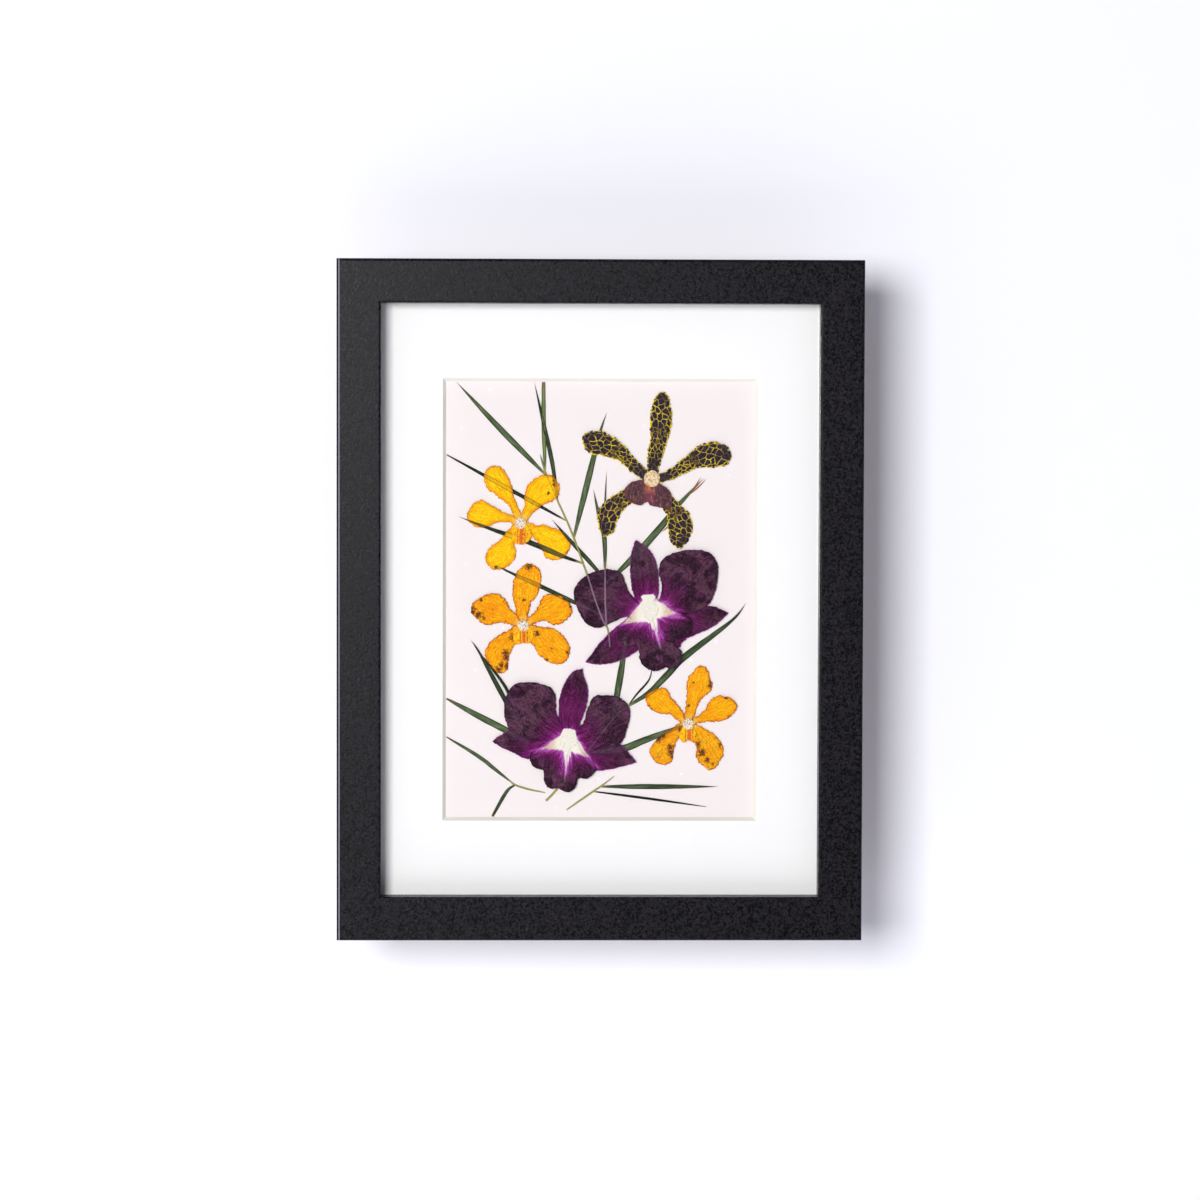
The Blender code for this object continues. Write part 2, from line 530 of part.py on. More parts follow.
def make_nail(side, x, hanger, rail):
    """A pin through the hanger's foot, with a hole for it in the foot and the rail."""
    z = HANGER_HEIGHT / 2 - TOOTH_DEPTH
    head_front = BACK_RIM + GAP + HANGER_THICKNESS + PRESSED_GAP
    tip = head_front - NAIL_LENGTH
    neck = head_front + NAIL_HEAD_THICKNESS / 3
    shank = mesh_object(f"hanger_nail_{side}", cylinder_bmesh(NAIL_SHANK, tip, neck, x, z))
    nail = finished(shank, "zinc_steel")
    head = cylinder_bmesh(NAIL_HEAD, head_front, head_front + NAIL_HEAD_THICKNESS, x, z)
    combine(nail, make_helper(f"nail_head_{side}", head), "UNION")
    hole = cylinder_bmesh(NAIL_SHANK + GAP, tip - GAP, head_front + GAP, x, z)
    bore = make_helper(f"nail_hole_{side}", hole)
    combine(hanger, bore, "DIFFERENCE")
    combine(rail, bore, "DIFFERENCE")


def make_window_plane():
    """An empty on the paper at the window's middle, turned so that its Z points at the viewer."""
    plane = bpy.data.objects.new("window_plane", None)
    COLLECTION.objects.link(plane)
    plane.location = Vector((0.0, PAPER_FRONT, CENTRE_Z)) * MM
    plane.rotation_euler = (math.pi / 2, 0.0, 0.0)
    return plane


def layer_middle(layer):
    """How far the middle of a pressed layer stands off the paper."""
    return PRESSED_GAP + layer * LAYER_PITCH + LAYER_THICKNESS / 2


def make_petal(name, outline, parent, layer, finish):
    """A petal: a filled 2D curve through the outline's points, as thick as one pressed layer."""
    curve = bpy.data.curves.new(name, "CURVE")
    curve.dimensions = "2D"
    curve.fill_mode = "BOTH"
    curve.extrude = LAYER_THICKNESS / 2 * MM
    curve.resolution_u = 3
    spline = curve.splines.new("BEZIER")
    spline.bezier_points.add(len(outline) - 1)
    spline.use_cyclic_u = True
    for point, place in zip(spline.bezier_points, outline):
        point.co = (place[0] * MM, place[1] * MM, 0.0)
        handle = "VECTOR" if CORNER in place else "AUTO"
        point.handle_left_type = handle
        point.handle_right_type = handle
    petal = finished(bpy.data.objects.new(name, curve), finish)
    petal.parent = parent
    petal.location.z = layer_middle(layer) * MM
    return petal


def as_mesh(obj):
    """Replace a curve piece by its own welded mesh, which Booleans can take."""
    bpy.context.view_layer.update()
    graph = bpy.context.evaluated_depsgraph_get()
    name, material, place = obj.name, obj.data.materials[0], obj.matrix_world.copy()
    mesh = bpy.data.meshes.new_from_object(obj.evaluated_get(graph))
    work = bmesh.new()
    work.from_mesh(mesh)
    bmesh.ops.remove_doubles(work, verts=work.verts, dist=0.000005)
    work.to_mesh(mesh)
    work.free()
    bpy.data.objects.remove(obj)
    piece = bpy.data.objects.new(name, mesh)
    mesh.name = name
    mesh.materials.clear()
    mesh.materials.append(material)
    COLLECTION.objects.link(piece)
    piece.matrix_world = place
    return piece


def button_bmesh(radius, bottom, top):
    """A low round button with a sloping shoulder, standing on the flower's middle."""
    work = bmesh.new()
    bmesh.ops.create_cone(
        work, cap_ends=True, segments=16, radius1=radius, radius2=radius * 0.75, depth=top - bottom,
        matrix=Matrix.Translation((0.0, 0.0, (top + bottom) / 2)),
    )
    return work


def make_flower(flower, plane):
    """A flower: sepals in the lowest layer, then the petals, the lip and the column."""
    middle = bpy.data.objects.new(f"{flower.name}_middle", None)
    COLLECTION.objects.link(middle)
    middle.parent = plane
    middle.location = Vector((*flower.middle, 0.0)) * MM
    for part, outline in flower.outlines.items():
        above = {"petal_left": 1, "petal_right": 1, "lip": 2, "column": 3}.get(part, 0)
        finish = {"column": "cream_column"}.get(part, flower.finish)
        if flower.finish == "spotted_petal" and part == "lip":
            finish = "brown_lip"
        make_petal(f"{flower.name}_{part}", outline, middle, flower.layer + above, finish)
    if flower.name in YELLOW_LIPS:
        make_yellow_lip(flower, middle)
    if flower.finish == "spotted_petal":
        bottom = layer_middle(flower.layer + 3) - LAYER_THICKNESS / 2
        button = button_bmesh(SPOTTED_COLUMN_RADIUS, bottom, bottom + COLUMN_HEIGHT)
        column = finished(mesh_object(f"{flower.name}_column", button), "cream_column")
        column.parent = middle


def make_yellow_lip(flower, middle):
    """The small lip of a yellow orchid, with the column's button grown onto it."""
    lip_layer = flower.layer + 2
    name = f"{flower.name}_lip_and_column"
    lip = as_mesh(make_petal(name, YELLOW_LIPS[flower.name], middle, lip_layer, flower.finish))
    top = layer_middle(lip_layer) + COLUMN_HEIGHT
    button = make_helper(
        f"{flower.name}_button",
        button_bmesh(YELLOW_COLUMN_RADIUS, layer_middle(lip_layer) - LAYER_THICKNESS / 4, top),
    )
    button.parent = middle
    combine(lip, button, "UNION")


def smooth_line(points, steps):
    """Points on a Catmull-Rom curve through a strip's line."""
    knots = [Vector(point) for point in points]
    knots = [2 * knots[0] - knots[1], *knots, 2 * knots[-1] - knots[-2]]
    line = []
    for before, start, end, after in zip(knots, knots[1:], knots[2:], knots[3:]):
        for step in range(steps):
            t = step / steps
            line.append(0.5 * (
                2 * start + (end - before) * t
                + (2 * before - 5 * start + 4 * end - after) * t ** 2
                + (3 * start - before - 3 * end + after) * t ** 3
            ))
    return line + [knots[-2]]


def half_width(strip, share):
    """Half of a strip's width at a share of its length: it swells from the base and then tapers."""
    if share < WIDEST_AT:
        swell = math.sin(share / WIDEST_AT * math.pi / 2)
        return strip.width / 2 * (strip.base + (1 - strip.base) * swell)
    taper = ((share - WIDEST_AT) / (1 - WIDEST_AT)) ** 2
    return strip.width / 2 * (1 - (1 - strip.tip) * taper)


def strip_bmesh(strip, bottom, top):
    """A leaf or stem as a flat prism about its line."""
    line = smooth_line(strip.line, max(2, STRIP_STEPS // (len(strip.line) - 1)))
    left, right = [], []
    for index, place in enumerate(line):
        ahead = line[min(index + 1, len(line) - 1)]
        behind = line[max(index - 1, 0)]
        side = (ahead - behind).orthogonal().normalized() * half_width(strip, index / (len(line) - 1))
        left.append(place + side)
        right.append(place - side)
    if strip.tip == 0.0:
        right.pop()
    work = bmesh.new()
    outline = work.faces.new([work.verts.new((*place, bottom)) for place in left + right[::-1]])
    raised = bmesh.ops.extrude_face_region(work, geom=[outline])["geom"]
    upper = [item for item in raised if isinstance(item, bmesh.types.BMVert)]
    bmesh.ops.translate(work, vec=(0, 0, top - bottom), verts=upper)
    return work


def make_sprig(name, strips, plane):
    """A stem and its leaves, grown as one piece: each strip a little thinner than the one before."""
    layer = layer_middle(SPRIG_LAYERS.get(name, 0))
    pieces = []
    for index, strip in enumerate(strips):
        reach = LAYER_THICKNESS / 2 - index * STAGGER
        pieces.append(strip_bmesh(strip, layer - reach, layer + reach))
    sprig = finished(mesh_object(name, pieces[0]), "dry_leaf")
    sprig.parent = plane
    for index, work in enumerate(pieces[1:], start=1):
        leaf = make_helper(f"{name}_leaf_{index}", work)
        leaf.parent = plane
        combine(sprig, leaf, "UNION")


def main():
    clear_scene()
    rails = make_rails()
    sheet("glass", PANE_WIDTH, PANE_HEIGHT, GLASS_FRONT, GLASS_THICKNESS, "clear_glass")
    make_mat()
    sheet("backing_paper", PANE_WIDTH, PANE_HEIGHT, PAPER_FRONT, PAPER_THICKNESS, "pink_paper")
    sheet("back_board", PANE_WIDTH, PANE_HEIGHT, BOARD_FRONT, BOARD_THICKNESS, "brown_board")
    for side in rails:
        make_tab(side, rails)
    make_hanger(rails)
    plane = make_window_plane()
    for flower in FLOWERS:
        make_flower(flower, plane)
    for name, strips in SPRIGS.items():
        make_sprig(name, strips, plane)


main()
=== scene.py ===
"""Finishes of the pressed flower frame: its petals, foliage, sheets, rails and fittings, and the stage.

The flowers and leaves are drawn in the mat window's own space, in millimetres: x to the right, y up and
z towards the viewer, with the middle of the window on the paper at 0. PRESSED takes that space to the
frame's. The file is laid out as an add-on and runs as a script.
"""

import math
from collections import namedtuple

import bmesh
import bpy
import numpy as np
from bpy.props import FloatProperty, FloatVectorProperty, IntProperty, PointerProperty
from mathutils import Matrix, Vector, noise


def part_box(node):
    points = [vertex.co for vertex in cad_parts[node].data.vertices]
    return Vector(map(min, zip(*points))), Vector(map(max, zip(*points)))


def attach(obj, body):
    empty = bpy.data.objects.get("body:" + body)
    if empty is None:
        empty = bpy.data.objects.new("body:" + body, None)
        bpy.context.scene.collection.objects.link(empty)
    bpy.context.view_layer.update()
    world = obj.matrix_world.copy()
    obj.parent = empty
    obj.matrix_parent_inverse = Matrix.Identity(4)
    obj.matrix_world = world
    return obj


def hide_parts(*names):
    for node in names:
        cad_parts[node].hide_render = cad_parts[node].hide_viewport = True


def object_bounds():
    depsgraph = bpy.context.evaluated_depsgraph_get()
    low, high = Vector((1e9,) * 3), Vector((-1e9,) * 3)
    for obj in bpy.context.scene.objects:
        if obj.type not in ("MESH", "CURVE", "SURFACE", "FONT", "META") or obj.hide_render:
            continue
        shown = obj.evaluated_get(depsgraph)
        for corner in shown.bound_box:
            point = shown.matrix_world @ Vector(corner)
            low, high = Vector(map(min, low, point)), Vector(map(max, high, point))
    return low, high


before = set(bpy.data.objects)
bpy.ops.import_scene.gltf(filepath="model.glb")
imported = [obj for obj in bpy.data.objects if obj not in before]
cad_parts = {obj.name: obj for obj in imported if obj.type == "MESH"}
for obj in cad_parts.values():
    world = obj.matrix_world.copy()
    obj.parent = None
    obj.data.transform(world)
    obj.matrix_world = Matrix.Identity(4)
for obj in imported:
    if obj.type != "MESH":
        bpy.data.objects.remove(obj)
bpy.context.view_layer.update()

bl_info = {
    "name": "Pressed flower frame",
    "version": (1, 0, 0),
    "blender": (4, 5, 0),
    "location": "View3D > Sidebar > Pressed flowers",
    "description": "Builds the finishes of a framed arrangement of pressed orchids and foliage",
    "category": "Object",
}

MM = 0.001
BODY = "root"

# Places read from the frame.
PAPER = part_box("backing_paper")
PAPER_FRONT = PAPER[0].y
MIDDLE = (PAPER[0] + PAPER[1]) / 2
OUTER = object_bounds()
PRESSED = (
    Matrix.Translation((MIDDLE.x, PAPER_FRONT, MIDDLE.z))
    @ Matrix.Rotation(math.pi / 2, 4, "X")
    @ Matrix.Scale(MM, 4)
)
TO_WINDOW = PRESSED.inverted()

# Each flower's middle in the window, in millimetres, and its pieces.
SEPALS = ("dorsal_sepal", "sepal_left", "sepal_right")
PETALS = ("petal_left", "petal_right")
YELLOW_ORCHIDS = {
    "yellow_orchid_upper": (-31.0, 29.9),
    "yellow_orchid_middle": (-29.9, -10.0),
    "yellow_orchid_lower": (34.7, -48.4),
}
PURPLE_ORCHIDS = {
    "purple_orchid_upper": (19.5, -3.7),
    "purple_orchid_lower": (-12.0, -55.0),
}
SPOTTED_ORCHID = {"spotted_orchid": (20.2, 47.3)}
FLOWERS = {**YELLOW_ORCHIDS, **PURPLE_ORCHIDS, **SPOTTED_ORCHID}

# A strip of foliage: its line from base to tip in the window, its greatest width, its widths at the
# base and the tip as shares of that, and its tone from nearly black to light green.
Strip = namedtuple("Strip", "line width base tip tone", defaults=(0.35, 0.0, 0.4))
STEM = {"base": 1.0, "tip": 0.8}
SPRIGS = {
    "sprig_upper": (
        Strip(((4, -18), (3.2, -11.5), (1.5, -8.5), (-1.6, -0.5), (-5, 10), (-11.3, 27), (-16.7, 39),
               (-22, 51.5)), 0.8, **STEM),
        Strip(((2.6, -10), (2.1, 0), (2, 15)), 0.8, **STEM),
        Strip(((-21.2, 48.7), (-39, 66.6), (-56, 84.7)), 2.3, tone=0.62),
        Strip(((-21.4, 50.5), (-22, 68), (-22.1, 84.7)), 1.7, tip=0.8, tone=0.85),
        Strip(((-16.5, 38.5), (-18.6, 53), (-22, 68.5), (-25.7, 84.7)), 1.7, tone=0.25),
        Strip(((-21.5, 50.5), (-23.4, 56.8)), 0.8, tone=1.0),
        Strip(((-13.4, 31), (-37, 44), (-59.7, 56.4)), 1.5, tip=0.3, tone=0.12),
        Strip(((-6.4, 14.2), (-14.4, 17), (-29, 23), (-42, 27.4), (-55.2, 32.4)), 2.0, tone=0.15),
        Strip(((0.9, -5.9), (-10.2, -0.8), (-23.8, 5.6), (-32.5, 9.5), (-43.5, 14.8)), 1.7, tone=0.25),
        Strip(((2.2, 7), (-0.6, 11), (-10.2, 21.6), (-18.7, 31.2)), 1.7, tone=0.3),
        Strip(((-10.2, 24.2), (-5.5, 43.5), (-2.5, 55.7), (0, 65.5), (2.5, 73)), 2.4, tone=0.6),
        Strip(((2, 13), (1.8, 26), (2, 38), (2.5, 50)), 1.0, tone=0.4),
        Strip(((2, 11), (1.7, 24), (-0.5, 33), (-2.6, 43)), 1.8, tone=0.45),
        Strip(((2.1, 6.5), (7.6, 11.2), (17.8, 21.7), (25.8, 31.1), (31.1, 37.7), (40.3, 47.5)), 2.7,
              tone=0.6),
        Strip(((34.6, 41.0), (37.0, 44.3), (39.2, 47.9)), 0.5, tone=-1.0),
        Strip(((35.0, 41.3), (38.2, 44.0), (41.4, 47.3)), 0.55, tone=-1.0),
        Strip(((27.6, 31.0), (26.2, 28.4), (24.0, 26.6)), 0.6, tone=-1.0),
    ),
    "sprig_middle": (
        Strip(((-20.8, -78.6), (-16.5, -74), (-4.8, -59.5), (5.3, -46.4), (11.6, -41)), 0.9, **STEM),
        Strip(((11, -41.6), (19.7, -35.9), (26.6, -29), (32.9, -22.4), (51.3, -8.2), (57.2, -1.1)), 2.7,
              tone=0.35),
        Strip(((11, -41.6), (14.4, -37), (19.4, -31), (20.6, -25)), 0.8, tone=0.25),
        Strip(((5.1, -46.8), (6.7, -38), (9.2, -22.5), (10.4, -12)), 2.6, tone=0.45),
        Strip(((-5, -60), (9.4, -58), (17.2, -55), (29, -50.4), (35, -48.2)), 2.8, tone=0.55),
    ),
    "sprig_lower_right": (
        Strip(((-12.7, -82.1), (-2.2, -74.8), (0.8, -72.8), (5.8, -69)), 0.8, base=0.6, tip=0.4),
        Strip(((0.6, -73), (24, -73), (46.6, -73)), 2.0, tone=0.35),
        Strip(((-2.4, -74.9), (20, -77.8), (41.9, -80.9)), 1.0, base=0.5, tip=0.2, tone=0.1),
    ),
    "sprig_lower_left": (
        Strip(((-34.9, -70.8), (-32.8, -72.4), (-27.9, -74), (-21.2, -75.4)), 0.8, base=0.8, tip=0.4),
        Strip(((-34.5, -71.2), (-40.8, -66.2), (-47.5, -61), (-59.7, -53.6)), 1.5, tip=0.3, tone=0.5),
        Strip(((-32.5, -72.2), (-35.1, -73.8), (-37.2, -76.6), (-41.7, -84.7)), 1.4, tip=0.7, tone=0.3),
    ),
    "blade_left": (
        Strip(((-28, -55.5), (-36, -51.2), (-48, -45), (-59.7, -38.6)), 2.6, base=0.6, tip=0.25, tone=0.58),
    ),
    "blade_pair": (
        Strip(((-30, -50.5), (-37, -38.9), (-46.6, -21.2), (-50.3, -15.7)), 1.8, base=0.6, tone=0.2),
        Strip(((-30, -49.8), (-35.8, -35.8), (-41.7, -27.2), (-46.6, -21)), 1.2, base=0.6, tip=0.2,
              tone=0.12),
    ),
}
# How many of a sprig's strips, counted from the first, are its stems.
STEM_COUNTS = {"sprig_upper": 2, "sprig_middle": 1, "sprig_lower_right": 1, "sprig_lower_left": 1}
# The share of a strip's length at which it is widest.
WIDEST_AT = 0.4


def tint(red, green, blue):
    """A linear colour from one written as a screen shows it, from 0 to 255."""
    shares = (value / 255 for value in (red, green, blue))
    return tuple(v / 12.92 if v <= 0.04045 else ((v + 0.055) / 1.055) ** 2.4 for v in shares)


def colour_property(name, description, default):
    """A colour that the user can change."""
    return FloatVectorProperty(
        name=name, description=description, default=default, subtype="COLOR", size=3, min=0.0, max=1.0,
    )


def length_property(name, description, default):
    """A length in the scene's units that the user can change."""
    return FloatProperty(
        name=name, description=description, default=default, unit="LENGTH", min=0.0, precision=5,
    )


class FrameSettings(bpy.types.PropertyGroup):
    """The rails and the fittings behind them."""

    foil: colour_property("Foil", "Black foil wrapped round the rails", tint(15, 13, 18))
    core: colour_property("Core", "Fibreboard that shows at the back of the rails", tint(139, 108, 78))
    board: colour_property("Board", "Hardboard that closes the back", tint(104, 72, 46))
    steel: colour_property("Steel", "Zinc-plated hanger, nails and tabs", tint(190, 192, 196))
    rounding: length_property("Rounding", "Radius of the rails' arrises", 0.0003)
    grain: length_property("Grain", "Size of the foil's embossed grain", 0.00035)
    # Inset of the painted highlight line from the left outer edge.
    highlight_inset: length_property("Painted highlight line", "Left edge to the painted highlight line on the foil", 0.001)


class SheetSettings(bpy.types.PropertyGroup):
    """The card, the paper and the glass."""

    card: colour_property("Card", "Face of the window mat", tint(249, 248, 246))
    card_core: colour_property("Card core", "Bevelled edge of the window", tint(243, 238, 228))
    paper: colour_property("Paper", "Backing paper of the specimens", tint(244, 234, 232))
    fleck: colour_property("Fleck", "Fibres in the backing paper", tint(255, 253, 253))


class PetalSettings(bpy.types.PropertyGroup):
    """The orchids."""

    yellow: colour_property("Yellow", "Bright body of a yellow petal", tint(255, 208, 8))
    orange: colour_property("Orange", "Margins and deep parts of a yellow petal", tint(246, 146, 8))
    stain: colour_property("Stain", "Bruises on a yellow petal", tint(132, 66, 22))
    olive: colour_property("Olive", "Dried folds of a yellow petal", tint(120, 96, 48))
    plum: colour_property("Plum", "Darkest part of a purple petal", tint(32, 3, 21))
    ash: colour_property("Ash", "Faded outer part of a purple petal", tint(88, 52, 69))
    magenta: colour_property("Magenta", "Inner part of a purple petal", tint(98, 8, 78))
    lilac: colour_property("Lilac", "Rays near the middle of a purple orchid", tint(190, 92, 188))
    cream: colour_property("Cream", "Middle of a purple orchid", tint(242, 236, 220))
    blotch: colour_property("Blotch", "Spots of the spotted orchid", tint(34, 26, 42))
    canary: colour_property("Canary", "Ground of the spotted orchid", tint(236, 206, 30))
    brown: colour_property("Brown", "Lip of the spotted orchid", tint(80, 48, 56))
    peach: colour_property("Peach", "Columns of the small orchids", tint(244, 222, 184))
    fineness: length_property("Fineness", "Size of a petal's mesh cells", 0.0004)
    thickness: length_property("Thickness", "Thickness of a petal", 0.0001)
    wrinkle: length_property("Wrinkle", "Height of the wrinkles", 0.00004)


class FoliageSettings(bpy.types.PropertyGroup):
    """The leaves and the stems."""

    shade: colour_property("Shade", "Darkest leaves and all margins", tint(20, 31, 18))
    leaf: colour_property("Leaf", "Body of a leaf", tint(66, 86, 50))
    light: colour_property("Light", "Youngest leaves", tint(150, 172, 92))
    straw: colour_property("Straw", "Stems", tint(190, 186, 104))
    tip: colour_property("Tip", "Dried tips", tint(128, 84, 50))
    ribs: IntProperty(name="Ribs", description="Ribs across a leaf", default=9, min=1, max=40)
    thickness: length_property("Thickness", "Thickness of a leaf", 0.00011)


class StageSettings(bpy.types.PropertyGroup):
    """The wall, the lamps and the camera."""

    wall: colour_property("Wall", "Wall and floor", (0.92, 0.92, 0.972))
    standoff: length_property("Standoff", "Gap between the frame and the wall", 0.037)
    distance: length_property("Distance", "Camera to the middle of the frame", 1.396)
    key: FloatProperty(name="Key", description="Strength of the key lamp in watts", default=71.0, min=0.0)
    sky: FloatProperty(name="Sky", description="Strength of the light all round", default=0.21, min=0.0)
    lens: FloatProperty(name="Lens", description="Focal length in mm", default=108.4, min=1.0)


# ---------------------------------------------------------------- node trees

WHITE = (1.0, 1.0, 1.0, 1.0)


class Field:
    """A value, vector or colour at each point of a surface, reckoned with as a number is."""

    def __init__(self, tree, socket):
        self.tree = tree
        self.socket = socket

    def __add__(self, other):
        return reckoned("ADD", self, other)

    def __sub__(self, other):
        return reckoned("SUBTRACT", self, other)

    def __rsub__(self, other):
        return reckoned("SUBTRACT", other, self)

    def __mul__(self, other):
        return reckoned("MULTIPLY", self, other)

    def __truediv__(self, other):
        return reckoned("DIVIDE", self, other)

    def __rtruediv__(self, other):
        return reckoned("DIVIDE", other, self)

    def __abs__(self):
        return reckoned("ABSOLUTE", self)


class Outputs:
    """A node's outputs: each is a field, by its name or number."""

    def __init__(self, tree, node):
        self.tree = tree
        self.node = node

    def __getitem__(self, key):
        return Field(self.tree, self.node.outputs[key])


def feed(tree, node, inputs):
    """Give a node's inputs, by name or number, a field or a plain value each."""
    for key, value in inputs.items():
        if isinstance(value, Field):
            tree.links.new(value.socket, node.inputs[key])
        else:
            node.inputs[key].default_value = value


def put(tree, kind, inputs=(), **settings):
    """Add a shader node with its settings and inputs, and return its outputs."""
    node = tree.nodes.new("ShaderNode" + kind)
    for key, value in settings.items():
        setattr(node, key, value)
    feed(tree, node, dict(inputs))
    return Outputs(tree, node)


def reckoned(operation, *values, clamp=False):
    """A math node over values, at least one of them a field."""
    tree = next(value.tree for value in values if isinstance(value, Field))
    return put(tree, "Math", dict(enumerate(values)), operation=operation, use_clamp=clamp)[0]


def most(first, second):
    """The greater of two values."""
    return reckoned("MAXIMUM", first, second)


def least(first, second):
    """The smaller of two values."""
    return reckoned("MINIMUM", first, second)


def clamped(value):
    """A value held between 0 and 1."""
    return reckoned("ADD", value, 0.0, clamp=True)


def solid(colour):
    """A colour with its alpha."""
    return (*colour, 1.0)


def deepened(colour, share):
    """A colour made darker, or lighter where the share is above 1."""
    return tuple(min(1.0, value * share) for value in colour)


def blend(factor, first, second):
    """Mix two colours: the second covers the first as far as the factor says."""
    first, second = (value if isinstance(value, Field) else solid(value) for value in (first, second))
    return put(factor.tree, "Mix", {0: factor, 6: first, 7: second}, data_type="RGBA")[2]


def step(value, start, end, high=1.0, low=0.0):
    """Rise smoothly from low to high as the value goes from start to end."""
    inputs = {"Value": value, "From Min": start, "From Max": end, "To Min": low, "To Max": high}
    return put(value.tree, "MapRange", inputs, interpolation_type="SMOOTHSTEP")[0]


def reading(tree, name, socket="Fac"):
    """A number, or a vector, stored on the piece's own points."""
    return put(tree, "Attribute", attribute_name=name)[socket]


def in_mm(tree):
    """Object coordinates in millimetres."""
    place = put(tree, "TexCoord")["Object"]
    return put(tree, "VectorMath", {0: place, "Scale": 1 / MM}, operation="SCALE")[0]


def stretched(vector, scale):
    """A vector scaled along each axis."""
    return put(vector.tree, "VectorMath", {0: vector, 1: scale}, operation="MULTIPLY")[0]


def noise_of(vector, scale, detail=2.0, rough=0.5, warp=0.0):
    """Noise from 0 to 1."""
    inputs = {"Vector": vector, "Scale": scale, "Detail": detail, "Roughness": rough, "Distortion": warp}
    return put(vector.tree, "TexNoise", inputs)[0]


def dots(vector, scale, randomness=1.0):
    """The distance to the nearest of many scattered points."""
    inputs = {"Vector": vector, "Scale": scale, "Randomness": randomness}
    return put(vector.tree, "TexVoronoi", inputs)[0]


def joined(x, y, z=0.0):
    """A vector from three numbers."""
    return put(x.tree, "CombineXYZ", {0: x, 1: y, 2: z})[0]


def axes(vector):
    """A vector's numbers along its axes."""
    return put(vector.tree, "SeparateXYZ", {0: vector})


def mottle_effect(tree, given):
    """Soft patches: a mask that rises where noise passes a threshold."""
    cloud = noise_of(given["Vector"], given["Scale"], detail=4.0, rough=0.6, warp=0.4)
    return {"Mask": step(cloud, given["Low"], given["High"])}


def veins_effect(tree, given):
    """Fine veins that fan out along a petal or a leaf, with their height."""
    bend = noise_of(joined(given["Along"] * 5.0, given["Across"]), 1.2, detail=3.0) - 0.5
    spread = (given["Across"] + bend * given["Waver"]) * given["Count"]
    wave = reckoned("COSINE", spread * math.pi)
    return {"Mask": step(wave, 0.72, 1.0), "Height": step(wave, -1.0, 1.0)}


def underlay_effect(tree, given):
    """Masks over the foliage beneath a petal: along its edges and over its middle."""
    beneath = reading(tree, "beneath")
    outline = step(abs(beneath - 1.0), given["Softness"], 0.0)
    return {"Outline": outline, "Body": step(beneath, 1.25, 0.85)}


def hem_effect(tree, given):
    """A ragged band along a petal's margin."""
    drift = (noise_of(in_mm(tree), 0.9, detail=3.0, rough=0.65) - 0.45) * given["Ragged"]
    return {"Mask": step(reading(tree, "margin") - drift, given["Width"], 0.0)}


def grain_effect(tree, given):
    """Fine embossed grain: a height and a soft variation."""
    place = in_mm(tree)
    inputs = {"Vector": place, "Scale": 1.0 / given["Size"]}
    pits = put(tree, "TexVoronoi", inputs, feature="SMOOTH_F1")["Distance"]
    fuzz = noise_of(place, 0.6 / given["Size"], detail=5.0, rough=0.7)
    return {"Height": pits + fuzz, "Patch": noise_of(place, 0.08, detail=3.0)}


# Each shared effect and the inputs it takes.
EFFECTS = {
    "mottle": (mottle_effect, ("Vector", "Scale", "Low", "High")),
    "veins": (veins_effect, ("Along", "Across", "Count", "Waver")),
    "underlay": (underlay_effect, ("Softness",)),
    "hem": (hem_effect, ("Width", "Ragged")),
    "grain": (grain_effect, ("Size",)),
}


def effect_group(name):
    """Make the node group of a shared effect."""
    maker, given = EFFECTS[name]
    tree = bpy.data.node_groups.new(name, "ShaderNodeTree")
    for key in given:
        kind = "Vector" if key == "Vector" else "Float"
        tree.interface.new_socket(key, in_out="INPUT", socket_type=f"NodeSocket{kind}")
    made = maker(tree, Outputs(tree, tree.nodes.new("NodeGroupInput")))
    for key in made:
        tree.interface.new_socket(key, in_out="OUTPUT", socket_type="NodeSocketFloat")
    feed(tree, tree.nodes.new("NodeGroupOutput"), made)
    return tree


def use(tree, name, **inputs):
    """Place a shared effect in a tree."""
    return put(tree, "Group", inputs, node_tree=bpy.data.node_groups.get(name) or effect_group(name))


def new_material(name, roughness=0.7, shine=0.15, **shader_inputs):
    """A material and its tree, with plain values on its shader."""
    material = bpy.data.materials.new(name)
    material.use_nodes = True
    tree = material.node_tree
    plain = {key.replace("_", " "): value for key, value in shader_inputs.items()}
    feed(tree, tree.nodes["Principled BSDF"], {"Roughness": roughness, "Specular IOR Level": shine, **plain})
    return material, tree


def finish_surface(material, colour, height, depth, roughness=None):
    """Feed a material's shader its colour, its bump and, if given, its roughness."""
    tree = material.node_tree
    bump = put(tree, "Bump", {"Height": height, "Distance": depth, "Strength": 1.0})[0]
    inputs = {"Base Color": colour, "Normal": bump}
    if roughness is not None:
        inputs["Roughness"] = roughness
    feed(tree, tree.nodes["Principled BSDF"], inputs)
    return material


def let_through(tree, rays):
    """Let the named rays pass straight through a surface."""
    shader = Outputs(tree, tree.nodes["Principled BSDF"])[0]
    clear = put(tree, "BsdfTransparent")[0]
    surface = put(tree, "MixShader", {0: rays, 1: shader, 2: clear})[0]
    feed(tree, tree.nodes["Material Output"], {"Surface": surface})


# ---------------------------------------------------------------- materials


